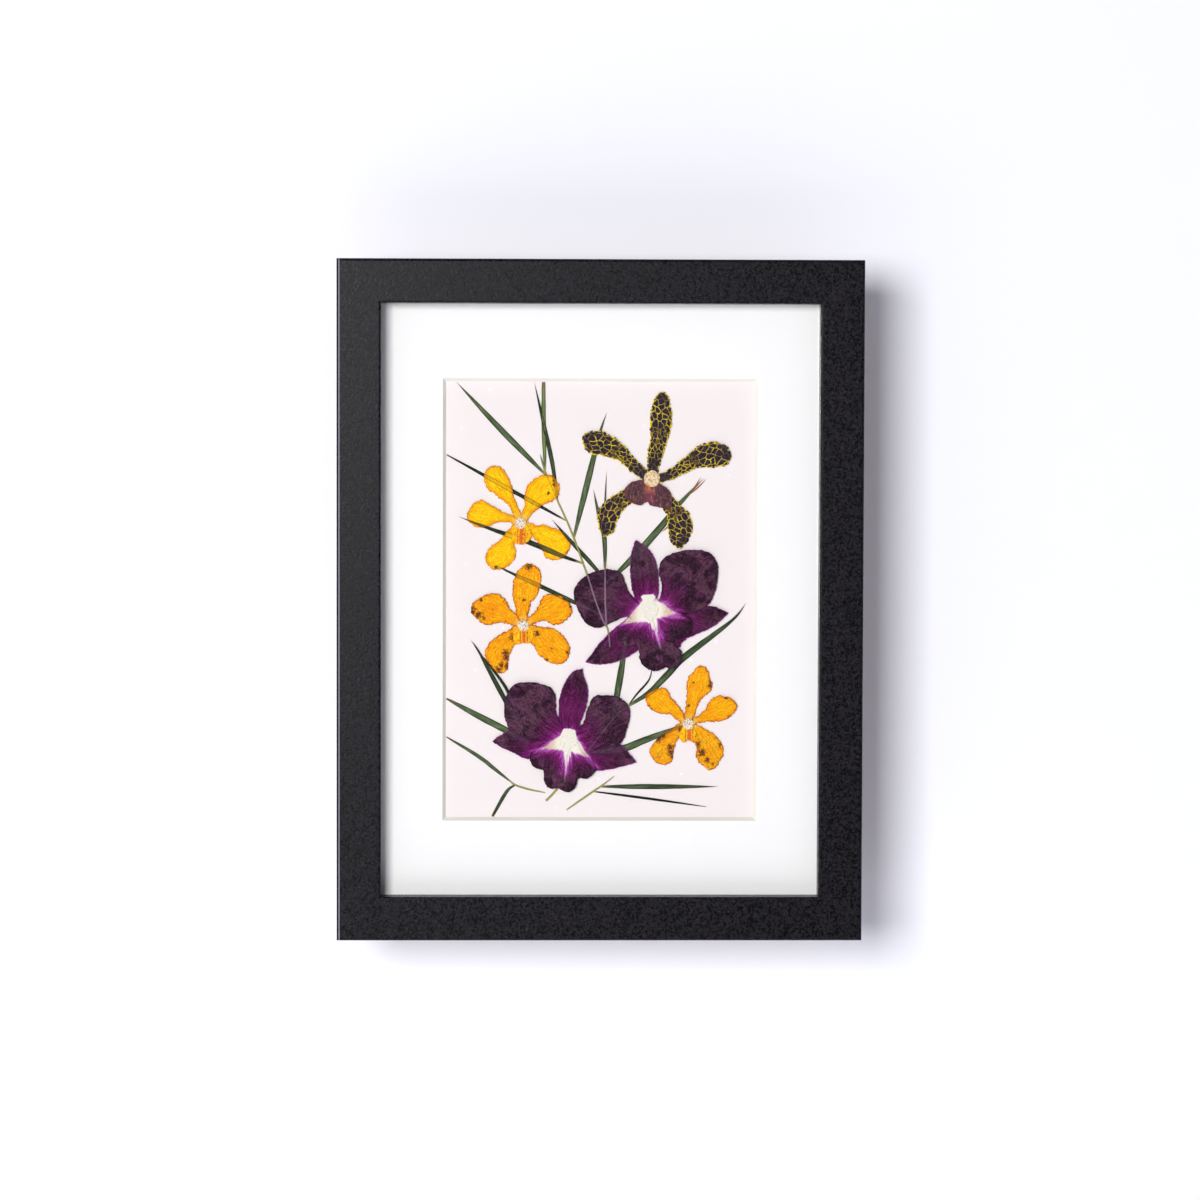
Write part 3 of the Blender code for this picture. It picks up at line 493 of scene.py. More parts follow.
def foil_material(settings):
    """Black satin foil with a fine grain, and a painted highlight line with painted shade along the left
    outer edge.
    """
    material, tree = new_material("black_foil", roughness=0.3, shine=0.115)
    grain = use(tree, "grain", Size=settings.grain / MM)
    place = in_mm(tree)
    pits = noise_of(place, 0.9, detail=3.0, rough=0.7)
    colour = blend(step(pits, 0.42, 0.58), deepened(settings.foil, 0.4), deepened(settings.foil, 1.6))
    speck = use(tree, "mottle", Vector=place, Scale=1.4, Low=0.54, High=0.62)["Mask"]
    colour = blend(speck * 0.4, colour, tint(56, 52, 60))
    # Painted highlight: a thin light line a little inside the left outer edge, with painted shade between it
    # and that edge.
    past_line = axes(place)[0] - (OUTER[0].x + settings.highlight_inset) / MM
    colour = blend(step(abs(past_line), 0.26, 0.1, 0.85), colour, tint(152, 150, 166))
    colour = blend(step(past_line, -0.2, -0.5, 0.7), colour, deepened(settings.foil, 0.2))
    rough = step(pits, 0.42, 0.58, 0.42, 0.25)
    return finish_surface(material, colour, pits * 2.0 + grain["Height"], 0.000025, rough)


def core_material(settings):
    """Raw fibreboard where the foil ends."""
    material, tree = new_material("rail_core", roughness=0.9)
    place = in_mm(tree)
    fibres = noise_of(stretched(place, (1.0, 2.0, 1.0)), 1.6, detail=6.0, rough=0.75)
    colour = blend(fibres, deepened(settings.core, 0.6), deepened(settings.core, 1.4))
    return finish_surface(material, colour, fibres, 0.0001)


def board_material(settings):
    """Hardboard with its pressed screen pattern."""
    material, tree = new_material("hardboard", roughness=0.75)
    place = in_mm(tree)
    weave = dots(place, 0.9, 0.15)
    fibres = noise_of(place, 0.7, detail=7.0, rough=0.7, warp=0.6)
    colour = blend(fibres, deepened(settings.board, 0.55), deepened(settings.board, 1.5))
    colour = blend(step(weave, 0.2, 0.55, 0.3), colour, deepened(settings.board, 0.4))
    return finish_surface(material, colour, weave, 0.0002)


def steel_material(settings):
    """Zinc-plated steel, drawn lengthwise, with dull patches."""
    material, tree = new_material("zinc_steel", roughness=0.3, shine=0.5, Metallic=1.0)
    place = in_mm(tree)
    drawn = noise_of(stretched(place, (0.6, 14.0, 14.0)), 1.0, detail=3.0)
    dull = use(tree, "mottle", Vector=place, Scale=0.35, Low=0.4, High=0.7)["Mask"]
    colour = blend(dull, settings.steel, deepened(settings.steel, 0.7))
    rough = dull * 0.2 + 0.25
    return finish_surface(material, colour, drawn, 0.00003, rough)


def glass_material():
    """Clear glass that lets lamps and scattered light straight through."""
    material, tree = new_material(
        "clear_glass", roughness=0.0, shine=0.5, IOR=1.5, Transmission_Weight=1.0, Base_Color=WHITE,
    )
    path = put(tree, "LightPath")
    let_through(tree, most(path["Is Shadow Ray"], path["Is Diffuse Ray"]))
    return material


def card_material(name, colour, tooth):
    """White card with a fine tooth."""
    material, tree = new_material(name, roughness=0.9)
    grain = use(tree, "grain", Size=0.45)
    shade = blend(grain["Patch"], deepened(colour, 0.985), colour)
    return finish_surface(material, shade, grain["Height"], tooth)


def paper_material(settings):
    """Very pale pink paper: soft clouds, faint fibres and a few white flecks."""
    material, tree = new_material("pink_paper", roughness=0.92)
    place = in_mm(tree)
    cloud = noise_of(place, 0.05, detail=5.0, rough=0.6)
    colour = blend(cloud, deepened(settings.paper, 0.965), settings.paper)
    fibre = noise_of(stretched(place, (1.0, 1.0, 3.0)), 0.8, detail=6.0, rough=0.75, warp=1.0)
    colour = blend(step(fibre, 0.5, 0.75, 0.3), colour, tint(236, 224, 225))
    colour = blend(step(dots(place, 0.11), 0.085, 0.03, 0.8), colour, settings.fleck)
    return finish_surface(material, colour, fibre, 0.00001)


def yellow_material(name, petals, depth, stains, olive):
    """A yellow petal: deeper margins, fine veins, bruises, and leaves that show through."""
    material, tree = new_material(name, shine=0.05)
    place = in_mm(tree)
    turned = reading(tree, "turned", "Vector")
    cloud = use(tree, "mottle", Vector=place, Scale=0.2, Low=0.35, High=0.7)["Mask"]
    colour = blend(clamped(cloud * 0.45 + depth), petals.yellow, petals.orange)
    hem = use(tree, "hem", Width=1.7, Ragged=1.6)["Mask"]
    colour = blend(hem * 0.85, colour, petals.orange)
    fibres = noise_of(stretched(turned, (0.35, 1.7, 1.0)), 1.0, detail=4.0, rough=0.65, warp=0.4)
    colour = blend(step(fibres, 0.5, 0.6, 0.45), colour, deepened(petals.orange, 0.8))
    colour = blend(step(fibres, 0.47, 0.38, 0.45), colour, tint(255, 208, 30))
    along, across = reading(tree, "along"), reading(tree, "across")
    veins = use(tree, "veins", Along=along, Across=across, Count=8.0, Waver=0.5)
    colour = blend(veins["Mask"] * (0.22 + stains), colour, tint(196, 92, 6))
    grit = noise_of(place, 1.9, detail=3.0)
    colour = blend(step(grit, 0.52, 0.62, 0.4), colour, tint(226, 118, 2))
    colour = blend(step(grit, 0.44, 0.36, 0.35), colour, tint(255, 222, 70))
    heart = reading(tree, "reach") + grit * 3.0
    colour = blend(step(heart, 6.5, 3.0, 0.55), colour, tint(255, 214, 110))
    ragged = noise_of(place, 1.3, detail=4.0, rough=0.65)
    bruise = (ragged - 0.5) * 3.2 + reading(tree, "stain")
    spots = step(dots(place, 0.3), 0.12, 0.07, min(1.0, stains * 4.0))
    rim = use(tree, "hem", Width=0.45, Ragged=1.2 + 6.0 * stains)["Mask"]
    colour = blend(clamped(rim * (0.35 + 3.2 * stains)), colour, tint(156, 70, 10))
    colour = blend(step(bruise, -0.25, 0.3, 0.6), colour, petals.stain)
    colour = blend(step(bruise, 0.3, 0.5, 0.85), colour, tint(74, 34, 30))
    colour = blend(spots, colour, tint(104, 46, 24))
    if olive:
        fold = abs(noise_of(stretched(turned, (0.3, 0.55, 1.0)), 1.0, detail=5.0, warp=1.2) - 0.5)
        low = step(axes(place)[2], olive, olive - 3.0)
        colour = blend(step(fold, 0.02, 0.0, 0.7) * low, colour, petals.olive)
    under = use(tree, "underlay", Softness=0.24)
    shows = reading(tree, "shows")
    shade = blend(shows, tint(150, 92, 20), tint(34, 52, 40))
    colour = blend(under["Body"] * (shows * 0.62 + 0.26), colour, shade)
    colour = blend(under["Outline"] * 0.85, colour, tint(46, 40, 26))
    colour = blend(step(reading(tree, "stalk"), 1.2, 0.6, 0.4), colour, tint(120, 84, 30))
    return finish_surface(material, colour, fibres * 1.5 + veins["Height"], 0.00006)


# The cream middle of a purple orchid, in mm from the flower's middle: how high it reaches, half the width
# of its top, how steeply its left and right shoulders fall, the level of its hem and the hem's slopes to
# the left and right, and the length, half width and lean of the tongue below it.
Heart = namedtuple("Heart", "top half falls hem slopes tongue")
HEARTS = {
    "purple_orchid_upper": Heart(4.2, 2.4, (1.25, 0.72), -4.4, (-0.12, 0.3), (11.0, 2.6, 0.28)),
    "purple_orchid_lower": Heart(3.0, 2.2, (0.74, 1.7), -4.0, (0.1, -0.32), (11.0, 2.3, -0.1)),
}


def heart_depth(tree, heart, ragged):
    """How far inside the cream middle a point is in mm, less than 0 outside it."""
    local = axes(reading(tree, "local", "Vector"))
    x, y, left = local[0], local[1], local[0] * -1.0
    fall = most((left - heart.half) * heart.falls[0], (x - heart.half) * heart.falls[1])
    below_top = heart.top - most(fall, 0.0) - y
    rise = most(left, 0.0) * heart.slopes[0] + most(x, 0.0) * heart.slopes[1]
    skirt = least(below_top, y - heart.hem - rise)
    length, half, lean = heart.tongue
    narrow = (1.0 - y / (-length)) * half
    beside = abs(y * lean + x)
    tongue = least(least(narrow - beside, below_top), y + length)
    depth = most(skirt, tongue) + ragged
    tail = step(beside, 0.5, 0.15, 0.55) * step(y, -length - 6.0, -length) * step(y, -2.0, -6.0)
    return depth, x, tail


def purple_ground(tree, petals, glow, heart):
    """The colour of a purple petal: ashen outside, then magenta, lilac rays and the cream middle.

    glow is how far the magenta reaches from the middle, in mm.
    """
    place = in_mm(tree)
    reach = reading(tree, "reach")
    rays = noise_of(reading(tree, "spoke", "Vector"), 1.0, detail=5.0, rough=0.7)
    ray = rays - 0.5
    ashen = use(tree, "mottle", Vector=place, Scale=0.085, Low=0.48, High=0.54)["Mask"]
    outer = step(reach, glow * 0.7, glow * 1.5, 0.85)
    colour = blend(ashen * outer, petals.plum, petals.ash)
    colour = blend(step(ray * 18.0 + reach, glow * 1.35, glow * 0.55, 0.9), colour, petals.magenta)
    turned = reading(tree, "turned", "Vector")
    streaks = noise_of(stretched(turned, (0.3, 1.4, 1.0)), 0.6, detail=6.0, rough=0.65, warp=0.8)
    marble = abs(noise_of(place, 0.2, detail=3.0, rough=0.55, warp=2.2) - 0.5)
    colour = blend(step(marble, 0.035, 0.01, 0.75) * outer, colour, deepened(petals.plum, 0.3))
    colour = blend(step(streaks, 0.5, 0.6, 0.5), colour, deepened(petals.plum, 0.35))
    colour = blend(step(streaks, 0.46, 0.38, 0.28), colour, tint(134, 58, 118))
    depth, x, tail = heart_depth(tree, heart, ray * 3.0)
    halo = ray * 9.0 + depth
    colour = blend(step(halo, -4.4, -0.8, 0.75), colour, tint(134, 22, 118))
    colour = blend(step(halo, -2.0, 0.2, 0.85), colour, petals.lilac)
    cream = blend(step(rays * 3.0 + abs(x), 4.5, 9.0, 0.8), petals.cream, tint(214, 180, 150))
    cream = blend(step(depth, 0.8, 0.0, 0.5), cream, tint(216, 178, 190))
    colour = blend(step(depth, -0.35, 0.25), colour, cream)
    colour = blend(tail, colour, tint(222, 170, 214))
    return colour, streaks, step(depth, 0.0, -1.5)


def purple_material(name, petals, glow, heart, rim, painted_crease_light):
    """A dark purple petal, sepal or lip, ridged from beneath by stems and leaves, with painted highlight and
    painted shade on its wrinkles and along those ridges.
    """
    material, tree = new_material(name, shine=0.07)
    colour, streaks, coloured = purple_ground(tree, petals, glow, heart)
    place = in_mm(tree)
    crease = abs(noise_of(place, 0.36, detail=5.0, rough=0.62, warp=1.8) - 0.5)
    outside = step(reading(tree, "reach"), 4.0, 9.0)
    # Painted highlight along the tops of the wrinkles, and painted shade in their hollows.
    colour = blend(step(crease, 0.014, 0.004, 0.4 * painted_crease_light) * outside, colour, tint(134, 92, 124))
    dark = step(crease, 0.08, 0.12, 0.5 * painted_crease_light) * outside
    colour = blend(dark, colour, deepened(petals.plum, 0.3))
    dust = noise_of(place, 2.6, detail=2.0)
    colour = blend(step(dust, 0.56, 0.66, 0.22) * outside, colour, tint(112, 70, 102))
    hem = use(tree, "hem", Width=0.45, Ragged=0.8)["Mask"]
    colour = blend(hem * coloured * 0.85, colour, rim)
    # Painted highlight over the middle of the foliage beneath and painted shade along its edges, for the
    # ridges it raises; then painted highlight over the stems beneath.
    under = use(tree, "underlay", Softness=0.2)
    colour = blend(under["Body"] * coloured * 0.1, colour, tint(130, 110, 130))
    colour = blend(under["Outline"] * coloured * 0.5, colour, deepened(petals.plum, 0.25))
    stalk = step(reading(tree, "stalk"), 1.1, 0.4)
    shown = clamped(reading(tree, "shows") * 0.5 + 0.12)
    colour = blend(stalk * shown, colour, tint(160, 132, 156))
    return finish_surface(material, colour, crease * -1.2 + streaks, 0.0001)


def spotted_material(petals):
    """Crowded dark blotches in a yellow net, finer towards the base, with a dashed yellow margin."""
    material, tree = new_material("spotted_petal", shine=0.08)
    place = in_mm(tree)
    along, margin = reading(tree, "along"), reading(tree, "margin")
    turned = reading(tree, "turned", "Vector")
    drift = put(tree, "TexNoise", {"Vector": place, "Scale": 0.7, "Detail": 3.0})["Color"]
    inputs = {0: drift, 1: (1.5, 1.5, 0.0), 2: turned}
    warped = put(tree, "VectorMath", inputs, operation="MULTIPLY_ADD")[0]
    size = noise_of(place, 0.35, detail=2.0)

    def blotches(scale, gap):
        inputs = {"Vector": stretched(warped, (scale * 0.75, scale, 1.0)), "Scale": 1.0, "Randomness": 0.9}
        net = put(tree, "TexVoronoi", inputs, voronoi_dimensions="2D", feature="DISTANCE_TO_EDGE")[0]
        cells = put(tree, "TexVoronoi", inputs, voronoi_dimensions="2D")
        kept = put(tree, "SeparateColor", {0: cells["Color"]})[0]
        wide = step(size, 0.38, 0.62, gap * 0.6, gap * 1.2)
        return step(net - wide, -0.01, 0.014) * step(kept, 0.01, 0.025)

    outer = step(along, 0.48, 0.62)
    spots = blotches(0.5, 0.048) * outer + blotches(0.62, 0.046) * (1.0 - outer)
    ends = along + size * 0.3 - 0.15
    spots = most(spots, step(ends, 0.27, 0.16, 0.9))
    spots = most(spots, step(ends, 0.86, 0.95, 0.85))
    ground = blend(step(noise_of(place, 0.3, detail=3.0), 0.46, 0.6), petals.canary, tint(196, 164, 44))
    ground = blend(step(margin, 1.1, 0.3), ground, tint(240, 210, 16))
    dashes = step(noise_of(place, 1.0, detail=1.0), 0.46, 0.54)
    spots = spots * most(step(margin, 0.3, 0.5), dashes)
    colour = blend(spots, ground, petals.blotch)
    sheen = noise_of(place, 1.4, detail=4.0)
    colour = blend(step(sheen, 0.5, 0.75, 0.3), colour, tint(88, 78, 92))
    colour = blend(spots * (1.0 - spots) * 2.4, colour, tint(92, 64, 36))
    veins = use(tree, "veins", Along=along, Across=reading(tree, "across"), Count=7.0, Waver=0.5)
    colour = blend(veins["Mask"] * 0.12, colour, tint(120, 96, 70))
    return finish_surface(material, colour, spots * 0.8 + veins["Height"], 0.00006)


def brown_lip_material(petals):
    """The brown lip of the spotted orchid with its warm middle."""
    material, tree = new_material("brown_lip")
    place = in_mm(tree)
    local = axes(reading(tree, "local", "Vector"))
    fuzz = noise_of(place, 0.7, detail=5.0, rough=0.7)
    colour = blend(step(fuzz, 0.35, 0.65), deepened(petals.brown, 0.4), deepened(petals.brown, 1.5))
    warm = blend(step(local[1], -4.0, -6.5), tint(186, 104, 70), tint(122, 52, 78))
    colour = blend(step(fuzz * 5.0 + abs(local[0] + 1.0), 5.6, 2.6, 0.8), colour, warm)
    threads = noise_of(stretched(place, (1.6, 1.0, 0.5)), 0.8, detail=4.0, warp=0.8)
    colour = blend(step(threads, 0.56, 0.68, 0.6), colour, tint(176, 120, 92))
    colour = blend(step(threads, 0.44, 0.32, 0.6), colour, tint(44, 24, 34))
    hem = use(tree, "hem", Width=0.45, Ragged=0.8)["Mask"]
    colour = blend(hem * 0.6, colour, tint(134, 72, 40))
    return finish_surface(material, colour, fuzz, 0.00015)


def yellow_lip_material(petals):
    """The small orange lip with red streaks down its middle."""
    material, tree = new_material("yellow_lip")
    place = in_mm(tree)
    local = axes(reading(tree, "local", "Vector"))
    fuzz = noise_of(place, 0.9, detail=4.0, rough=0.7)
    colour = blend(step(fuzz, 0.35, 0.65), petals.yellow, petals.orange)
    side = abs(local[0] - 0.4)
    down = step(local[1], -1.6, -2.6)
    red = step(fuzz * 3.4 + side, 2.7, 2.1, 0.9)
    colour = blend(red * down, colour, tint(216, 84, 34))
    groove = step(abs(fuzz * 1.2 + side - 2.0), 0.3, 0.1, 0.7)
    colour = blend(groove * down, colour, tint(140, 62, 26))
    colour = blend(step(dots(place, 0.8), 0.24, 0.14, 0.8), colour, tint(120, 40, 24))
    return finish_surface(material, colour, fuzz, 0.00012)


def column_material(name, ground, fleck, amount, contrast=0.72):
    """A granular column with flecks in its hollows."""
    material, tree = new_material(name, roughness=0.65)
    place = in_mm(tree)
    grit = noise_of(place, 1.5, detail=4.0, rough=0.7)
    colour = blend(step(grit, 0.42, 0.56), deepened(ground, contrast), ground)
    dark = use(tree, "mottle", Vector=place, Scale=1.3, Low=0.6 - amount, High=0.66 - amount)["Mask"]
    colour = blend(dark * 0.75, colour, fleck)
    return finish_surface(material, colour, grit, 0.0002)


def foliage_material(settings):
    """Dried leaf and stem: ribbed lengthwise, dark at the margins, and brown at the tip."""
    material, tree = new_material("dry_leaf")
    place = in_mm(tree)
    along, across, tone, stem = (reading(tree, key) for key in ("along", "across", "tone", "stem"))
    off_middle = abs(across)
    ribs = use(tree, "veins", Along=along, Across=across, Count=float(settings.ribs), Waver=0.12)
    cloud = noise_of(place, 0.12, detail=4.0, rough=0.6)
    toned = clamped(tone + cloud * 0.5 - 0.25)
    colour = blend(step(toned, 0.0, 0.65), settings.shade, settings.leaf)
    colour = blend(step(toned, 0.7, 1.0), colour, settings.light)
    colour = blend(ribs["Mask"] * 0.45, colour, settings.shade)
    colour = blend(step(off_middle, 0.25, 0.85, 0.85), colour, settings.shade)
    colour = blend(step(off_middle, 0.93, 1.0, 0.4), colour, tint(104, 118, 70))
    fuzz = noise_of(place, 1.2, detail=3.0)
    streak = noise_of(joined(along * 6.0, across * 3.0, tone), 1.5, detail=4.0, rough=0.7)
    streak = step(streak, 0.46, 0.58, 0.8) * step(off_middle, 0.9, 0.5) * step(toned, 0.1, 0.6)
    colour = blend(streak, colour, tint(118, 134, 92))
    ends = along + cloud * 0.16 - 0.08
    colour = blend(step(ends, 0.07, 0.0, 0.7), colour, settings.straw)
    colour = blend(step(ends, 0.9, 1.0, 0.7), colour, settings.tip)
    colour = blend(step(tone, -0.2, -0.8, 0.85), colour, tint(186, 110, 66))
    stalk = blend(fuzz, settings.straw, deepened(settings.straw, 0.6))
    stalk = blend(step(off_middle, 0.4, 1.0, 0.5), stalk, tint(112, 122, 52))
    colour = blend(stem, colour, stalk)
    return finish_surface(material, colour, ribs["Height"], 0.00004)


# ---------------------------------------------------------------- meshes


def mesh_from(work, name):
    """A mesh made from a bmesh, which is freed."""
    mesh = bpy.data.meshes.new(name)
    work.to_mesh(mesh)
    work.free()
    return mesh


def put_in_scene(name, data):
    """An object that holds a mesh, a lamp or a camera."""
    made = bpy.data.objects.new(name, data)
    bpy.context.scene.collection.objects.link(made)
    return made


def as_piece(name, mesh, materials, slot, *nodes):
    """Make a piece of a mesh that is already in place, and let it stand for its CAD nodes."""
    piece = put_in_scene(name, mesh)
    for material in materials:
        mesh.materials.append(material)
    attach(piece, BODY)
    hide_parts(*nodes)
    return piece


WELD = 0.0000005


def welded(node):
    """A CAD node's mesh as a bmesh, with its loose triangles joined."""
    work = bmesh.new()
    work.from_mesh(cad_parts[node].data)
    bmesh.ops.remove_doubles(work, verts=work.verts, dist=WELD)
    return work


def with_whole_faces(node):
    """A CAD node's mesh as a bmesh, with each of its flat faces in one piece."""
    work = welded(node)
    bmesh.ops.dissolve_limit(
        work, angle_limit=math.radians(0.5), use_dissolve_boundaries=False, verts=work.verts,
        edges=work.edges,
    )
    return work


def back_ring(node):
    """The outline of a CAD petal's flat back in the window's plane, and its height off the paper."""
    work = welded(node)
    bmesh.ops.transform(work, matrix=TO_WINDOW, verts=work.verts)
    floor = min(vert.co.z for vert in work.verts)
    back = [face for face in work.faces if all(abs(vert.co.z - floor) < 0.001 for vert in face.verts)]
    whole = bmesh.ops.dissolve_faces(work, faces=back, use_verts=False)["region"]
    ring = [vert.co.to_2d() for vert in whole[0].verts]
    work.free()
    if sum(a.cross(b) for a, b in zip(ring, ring[1:] + ring[:1])) < 0:
        ring.reverse()
    return ring, floor


def spline_point(before, start, end, after, t):
    """A point on a Catmull-Rom curve from start to end."""
    return 0.5 * (
        2 * start + (end - before) * t
        + (2 * before - 5 * start + 4 * end - after) * t ** 2
        + (3 * start - before - 3 * end + after) * t ** 3
    )


SHARP = math.radians(38)
RING_STEP = 0.35


def smooth_ring(ring, ruffle, seed):
    """A closed smooth outline through the ring, which keeps its sharp tips, with a ruffled edge."""
    count = len(ring)
    sharp = []
    for index, place in enumerate(ring):
        arriving, leaving = place - ring[index - 1], ring[(index + 1) % count] - place
        sharp.append(arriving.length > 0 and leaving.length > 0 and arriving.angle(leaving) > SHARP)
    fine = []
    for index, start in enumerate(ring):
        end = ring[(index + 1) % count]
        before = 2 * start - end if sharp[index] else ring[index - 1]
        after = 2 * end - start if sharp[(index + 1) % count] else ring[(index + 2) % count]
        steps = max(1, round((end - start).length / RING_STEP))
        fine += [spline_point(before, start, end, after, k / steps) for k in range(steps)]
    ruffled = []
    for index, place in enumerate(fine):
        ahead, behind = fine[(index + 1) % len(fine)], fine[index - 1]
        outward = (ahead - behind).orthogonal().normalized()
        slow = noise.noise(Vector((place.x * 0.35, place.y * 0.35, seed)))
        quick = noise.noise(Vector((place.x * 1.3, place.y * 1.3, seed + 7.0)))
        ruffled.append(place - outward * ruffle * (0.8 * slow + 1.5 * quick))
    return ruffled


def cut_in_cells(work, axis, spacing):
    """Slice a flat outline along and across an axis, so that it is made of small cells."""
    for direction in (axis, axis.orthogonal()):
        normal = direction.to_3d()
        places = [vert.co.dot(normal) for vert in work.verts]
        count = int((max(places) - min(places)) / spacing)
        for index in range(1, count + 1):
            at = min(places) + (max(places) - min(places)) * index / (count + 1)
            bmesh.ops.bisect_plane(
                work, geom=work.verts[:] + work.edges[:] + work.faces[:], dist=0.002,
                plane_co=normal * at, plane_no=normal,
            )


def raise_body(work):
    """Give a flat mesh a second side at z = 1."""
    lifted = bmesh.ops.extrude_face_region(work, geom=work.faces[:])["geom"]
    upper = [item for item in lifted if isinstance(item, bmesh.types.BMVert)]
    for vert in upper:
        vert.co.z = 1.0


def margin_of(points, ring):
    """Each point's distance to the outline."""
    starts = np.array(ring)
    ways = np.roll(starts, -1, axis=0) - starts
    lengths = np.maximum((ways ** 2).sum(1), 1e-9)
    nearest = np.full(len(points), np.inf)
    for start, way, length in zip(starts, ways, lengths):
        off = points - start
        share = np.clip(off @ way / length, 0.0, 1.0)
        nearest = np.minimum(nearest, ((off - share[:, None] * way) ** 2).sum(1))
    return np.sqrt(nearest)


STATIONS = 60


def lengthwise(points, ring, middle, axis):
    """Each point's share of the petal's length, and its place between the two margins from -1 to 1."""
    side = np.array((-axis[1], axis[0]))
    outline = np.array(ring) - middle
    far = (outline @ axis).max()
    at, off = outline @ axis, outline @ side
    stations = np.linspace(at.min() + 0.05, far - 0.05, STATIONS)
    low, high = np.zeros(STATIONS), np.zeros(STATIONS)
    next_at, next_off = np.roll(at, -1), np.roll(off, -1)
    for index, station in enumerate(stations):
        crossing = (at - station) * (next_at - station) <= 0
        share = (station - at[crossing]) / np.where(next_at == at, 1e-9, next_at - at)[crossing]
        met = off[crossing] + (next_off - off)[crossing] * share
        low[index], high[index] = met.min(), met.max()
    along = (points - middle) @ axis
    left, right = np.interp(along, stations, low), np.interp(along, stations, high)
    across = 2 * ((points - middle) @ side - left) / np.maximum(right - left, 0.2) - 1
    return np.clip(along / far, 0.0, 1.0), np.clip(across, -1.0, 1.0)


def smooth_line(points, spacing):
    """Points about a spacing apart on a smooth curve through a strip's line."""
    knots = [Vector(point) for point in points]
    knots = [2 * knots[0] - knots[1], *knots, 2 * knots[-1] - knots[-2]]
    line = []
    for before, start, end, after in zip(knots, knots[1:], knots[2:], knots[3:]):
        steps = max(1, round((end - start).length / spacing))
        line += [spline_point(before, start, end, after, k / steps) for k in range(steps)]
    return line + [knots[-2]]


def half_width(strip, share):
    """Half of a strip's width at a share of its length: it swells from the base and then tapers."""
    if share < WIDEST_AT:
        swell = math.sin(share / WIDEST_AT * math.pi / 2)
        return strip.width / 2 * (strip.base + (1 - strip.base) * swell)
    taper = ((share - WIDEST_AT) / (1 - WIDEST_AT)) ** 2
    return strip.width / 2 * (1 - (1 - strip.tip) * taper)


UNDERLAY_STEP = 0.35
UNDERLAY_LIMIT = 3.0


def strips_below(height, stems):
    """The lines of the stems, or of the leaves, that lie lower than a height: points with half widths."""
    found = []
    for name, strips in SPRIGS.items():
        if heights_off_paper(name)[1] > height:
            continue
        count = STEM_COUNTS.get(name, 0)
        for strip in strips[:count] if stems else strips[count:]:
            line = smooth_line(strip.line, UNDERLAY_STEP)
            for index, place in enumerate(line):
                found.append((*place, max(half_width(strip, index / (len(line) - 1)), 0.12)))
    return np.array(found)


def heights_off_paper(name):
    """A CAD node's highest and lowest heights off the paper, in mm."""
    low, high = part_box(name)
    return (PAPER_FRONT - low.y) / MM, (PAPER_FRONT - high.y) / MM


def beneath_of(points, height, stems=False):
    """How far each point is from the foliage beneath it, as a share of that strip's half width."""
    lines = strips_below(height, stems)
    reach = 4.0
    low, high = points.min(0) - reach, points.max(0) + reach
    lines = lines[((lines[:, :2] > low) & (lines[:, :2] < high)).all(1)]
    nearest = np.full(len(points), UNDERLAY_LIMIT)
    for x, y, width in lines:
        nearest = np.minimum(nearest, np.hypot(points[:, 0] - x, points[:, 1] - y) / width)
    return nearest


def noise_field(points, scale, seed, stretch=(1.0, 1.0)):
    """Noise from -1 to 1 at each point."""
    return np.array([
        noise.noise(Vector((x * scale * stretch[0], y * scale * stretch[1], seed))) for x, y in points
    ])


def smooth_share(value, start, end):
    """The share from 0 to 1 by which value has gone from start to end, smoothly."""
    share = np.clip((value - start) / (end - start), 0.0, 1.0)
    return share * share * (3 - 2 * share)


def store(mesh, **layers):
    """Store named numbers, or vectors, on a mesh's points."""
    for name, values in layers.items():
        kind, slot = ("FLOAT", "value") if values.ndim == 1 else ("FLOAT_VECTOR", "vector")
        layer = mesh.attributes.new(name, kind, "POINT")
        layer.data.foreach_set(slot, values.astype(np.float32).ravel())


# How strongly the foliage beneath each petal tells in its colour: dark through the yellow petals, and as a
# painted highlight over the stems beneath the purple ones.
SHOWING_AND_RIDGE_LIGHT = {
    "yellow_orchid_upper_petal_left": 1.0,
    "yellow_orchid_upper_sepal_right": 1.0,
    "yellow_orchid_upper_petal_right": 0.3,
    "yellow_orchid_middle_dorsal_sepal": 0.4,
    "yellow_orchid_lower_sepal_left": 0.5,
    "purple_orchid_upper_petal_left": 1.0,
    "purple_orchid_upper_sepal_left": 0.9,
    "purple_orchid_lower_lip": -0.3,
    "purple_orchid_upper_lip": -0.3,
}
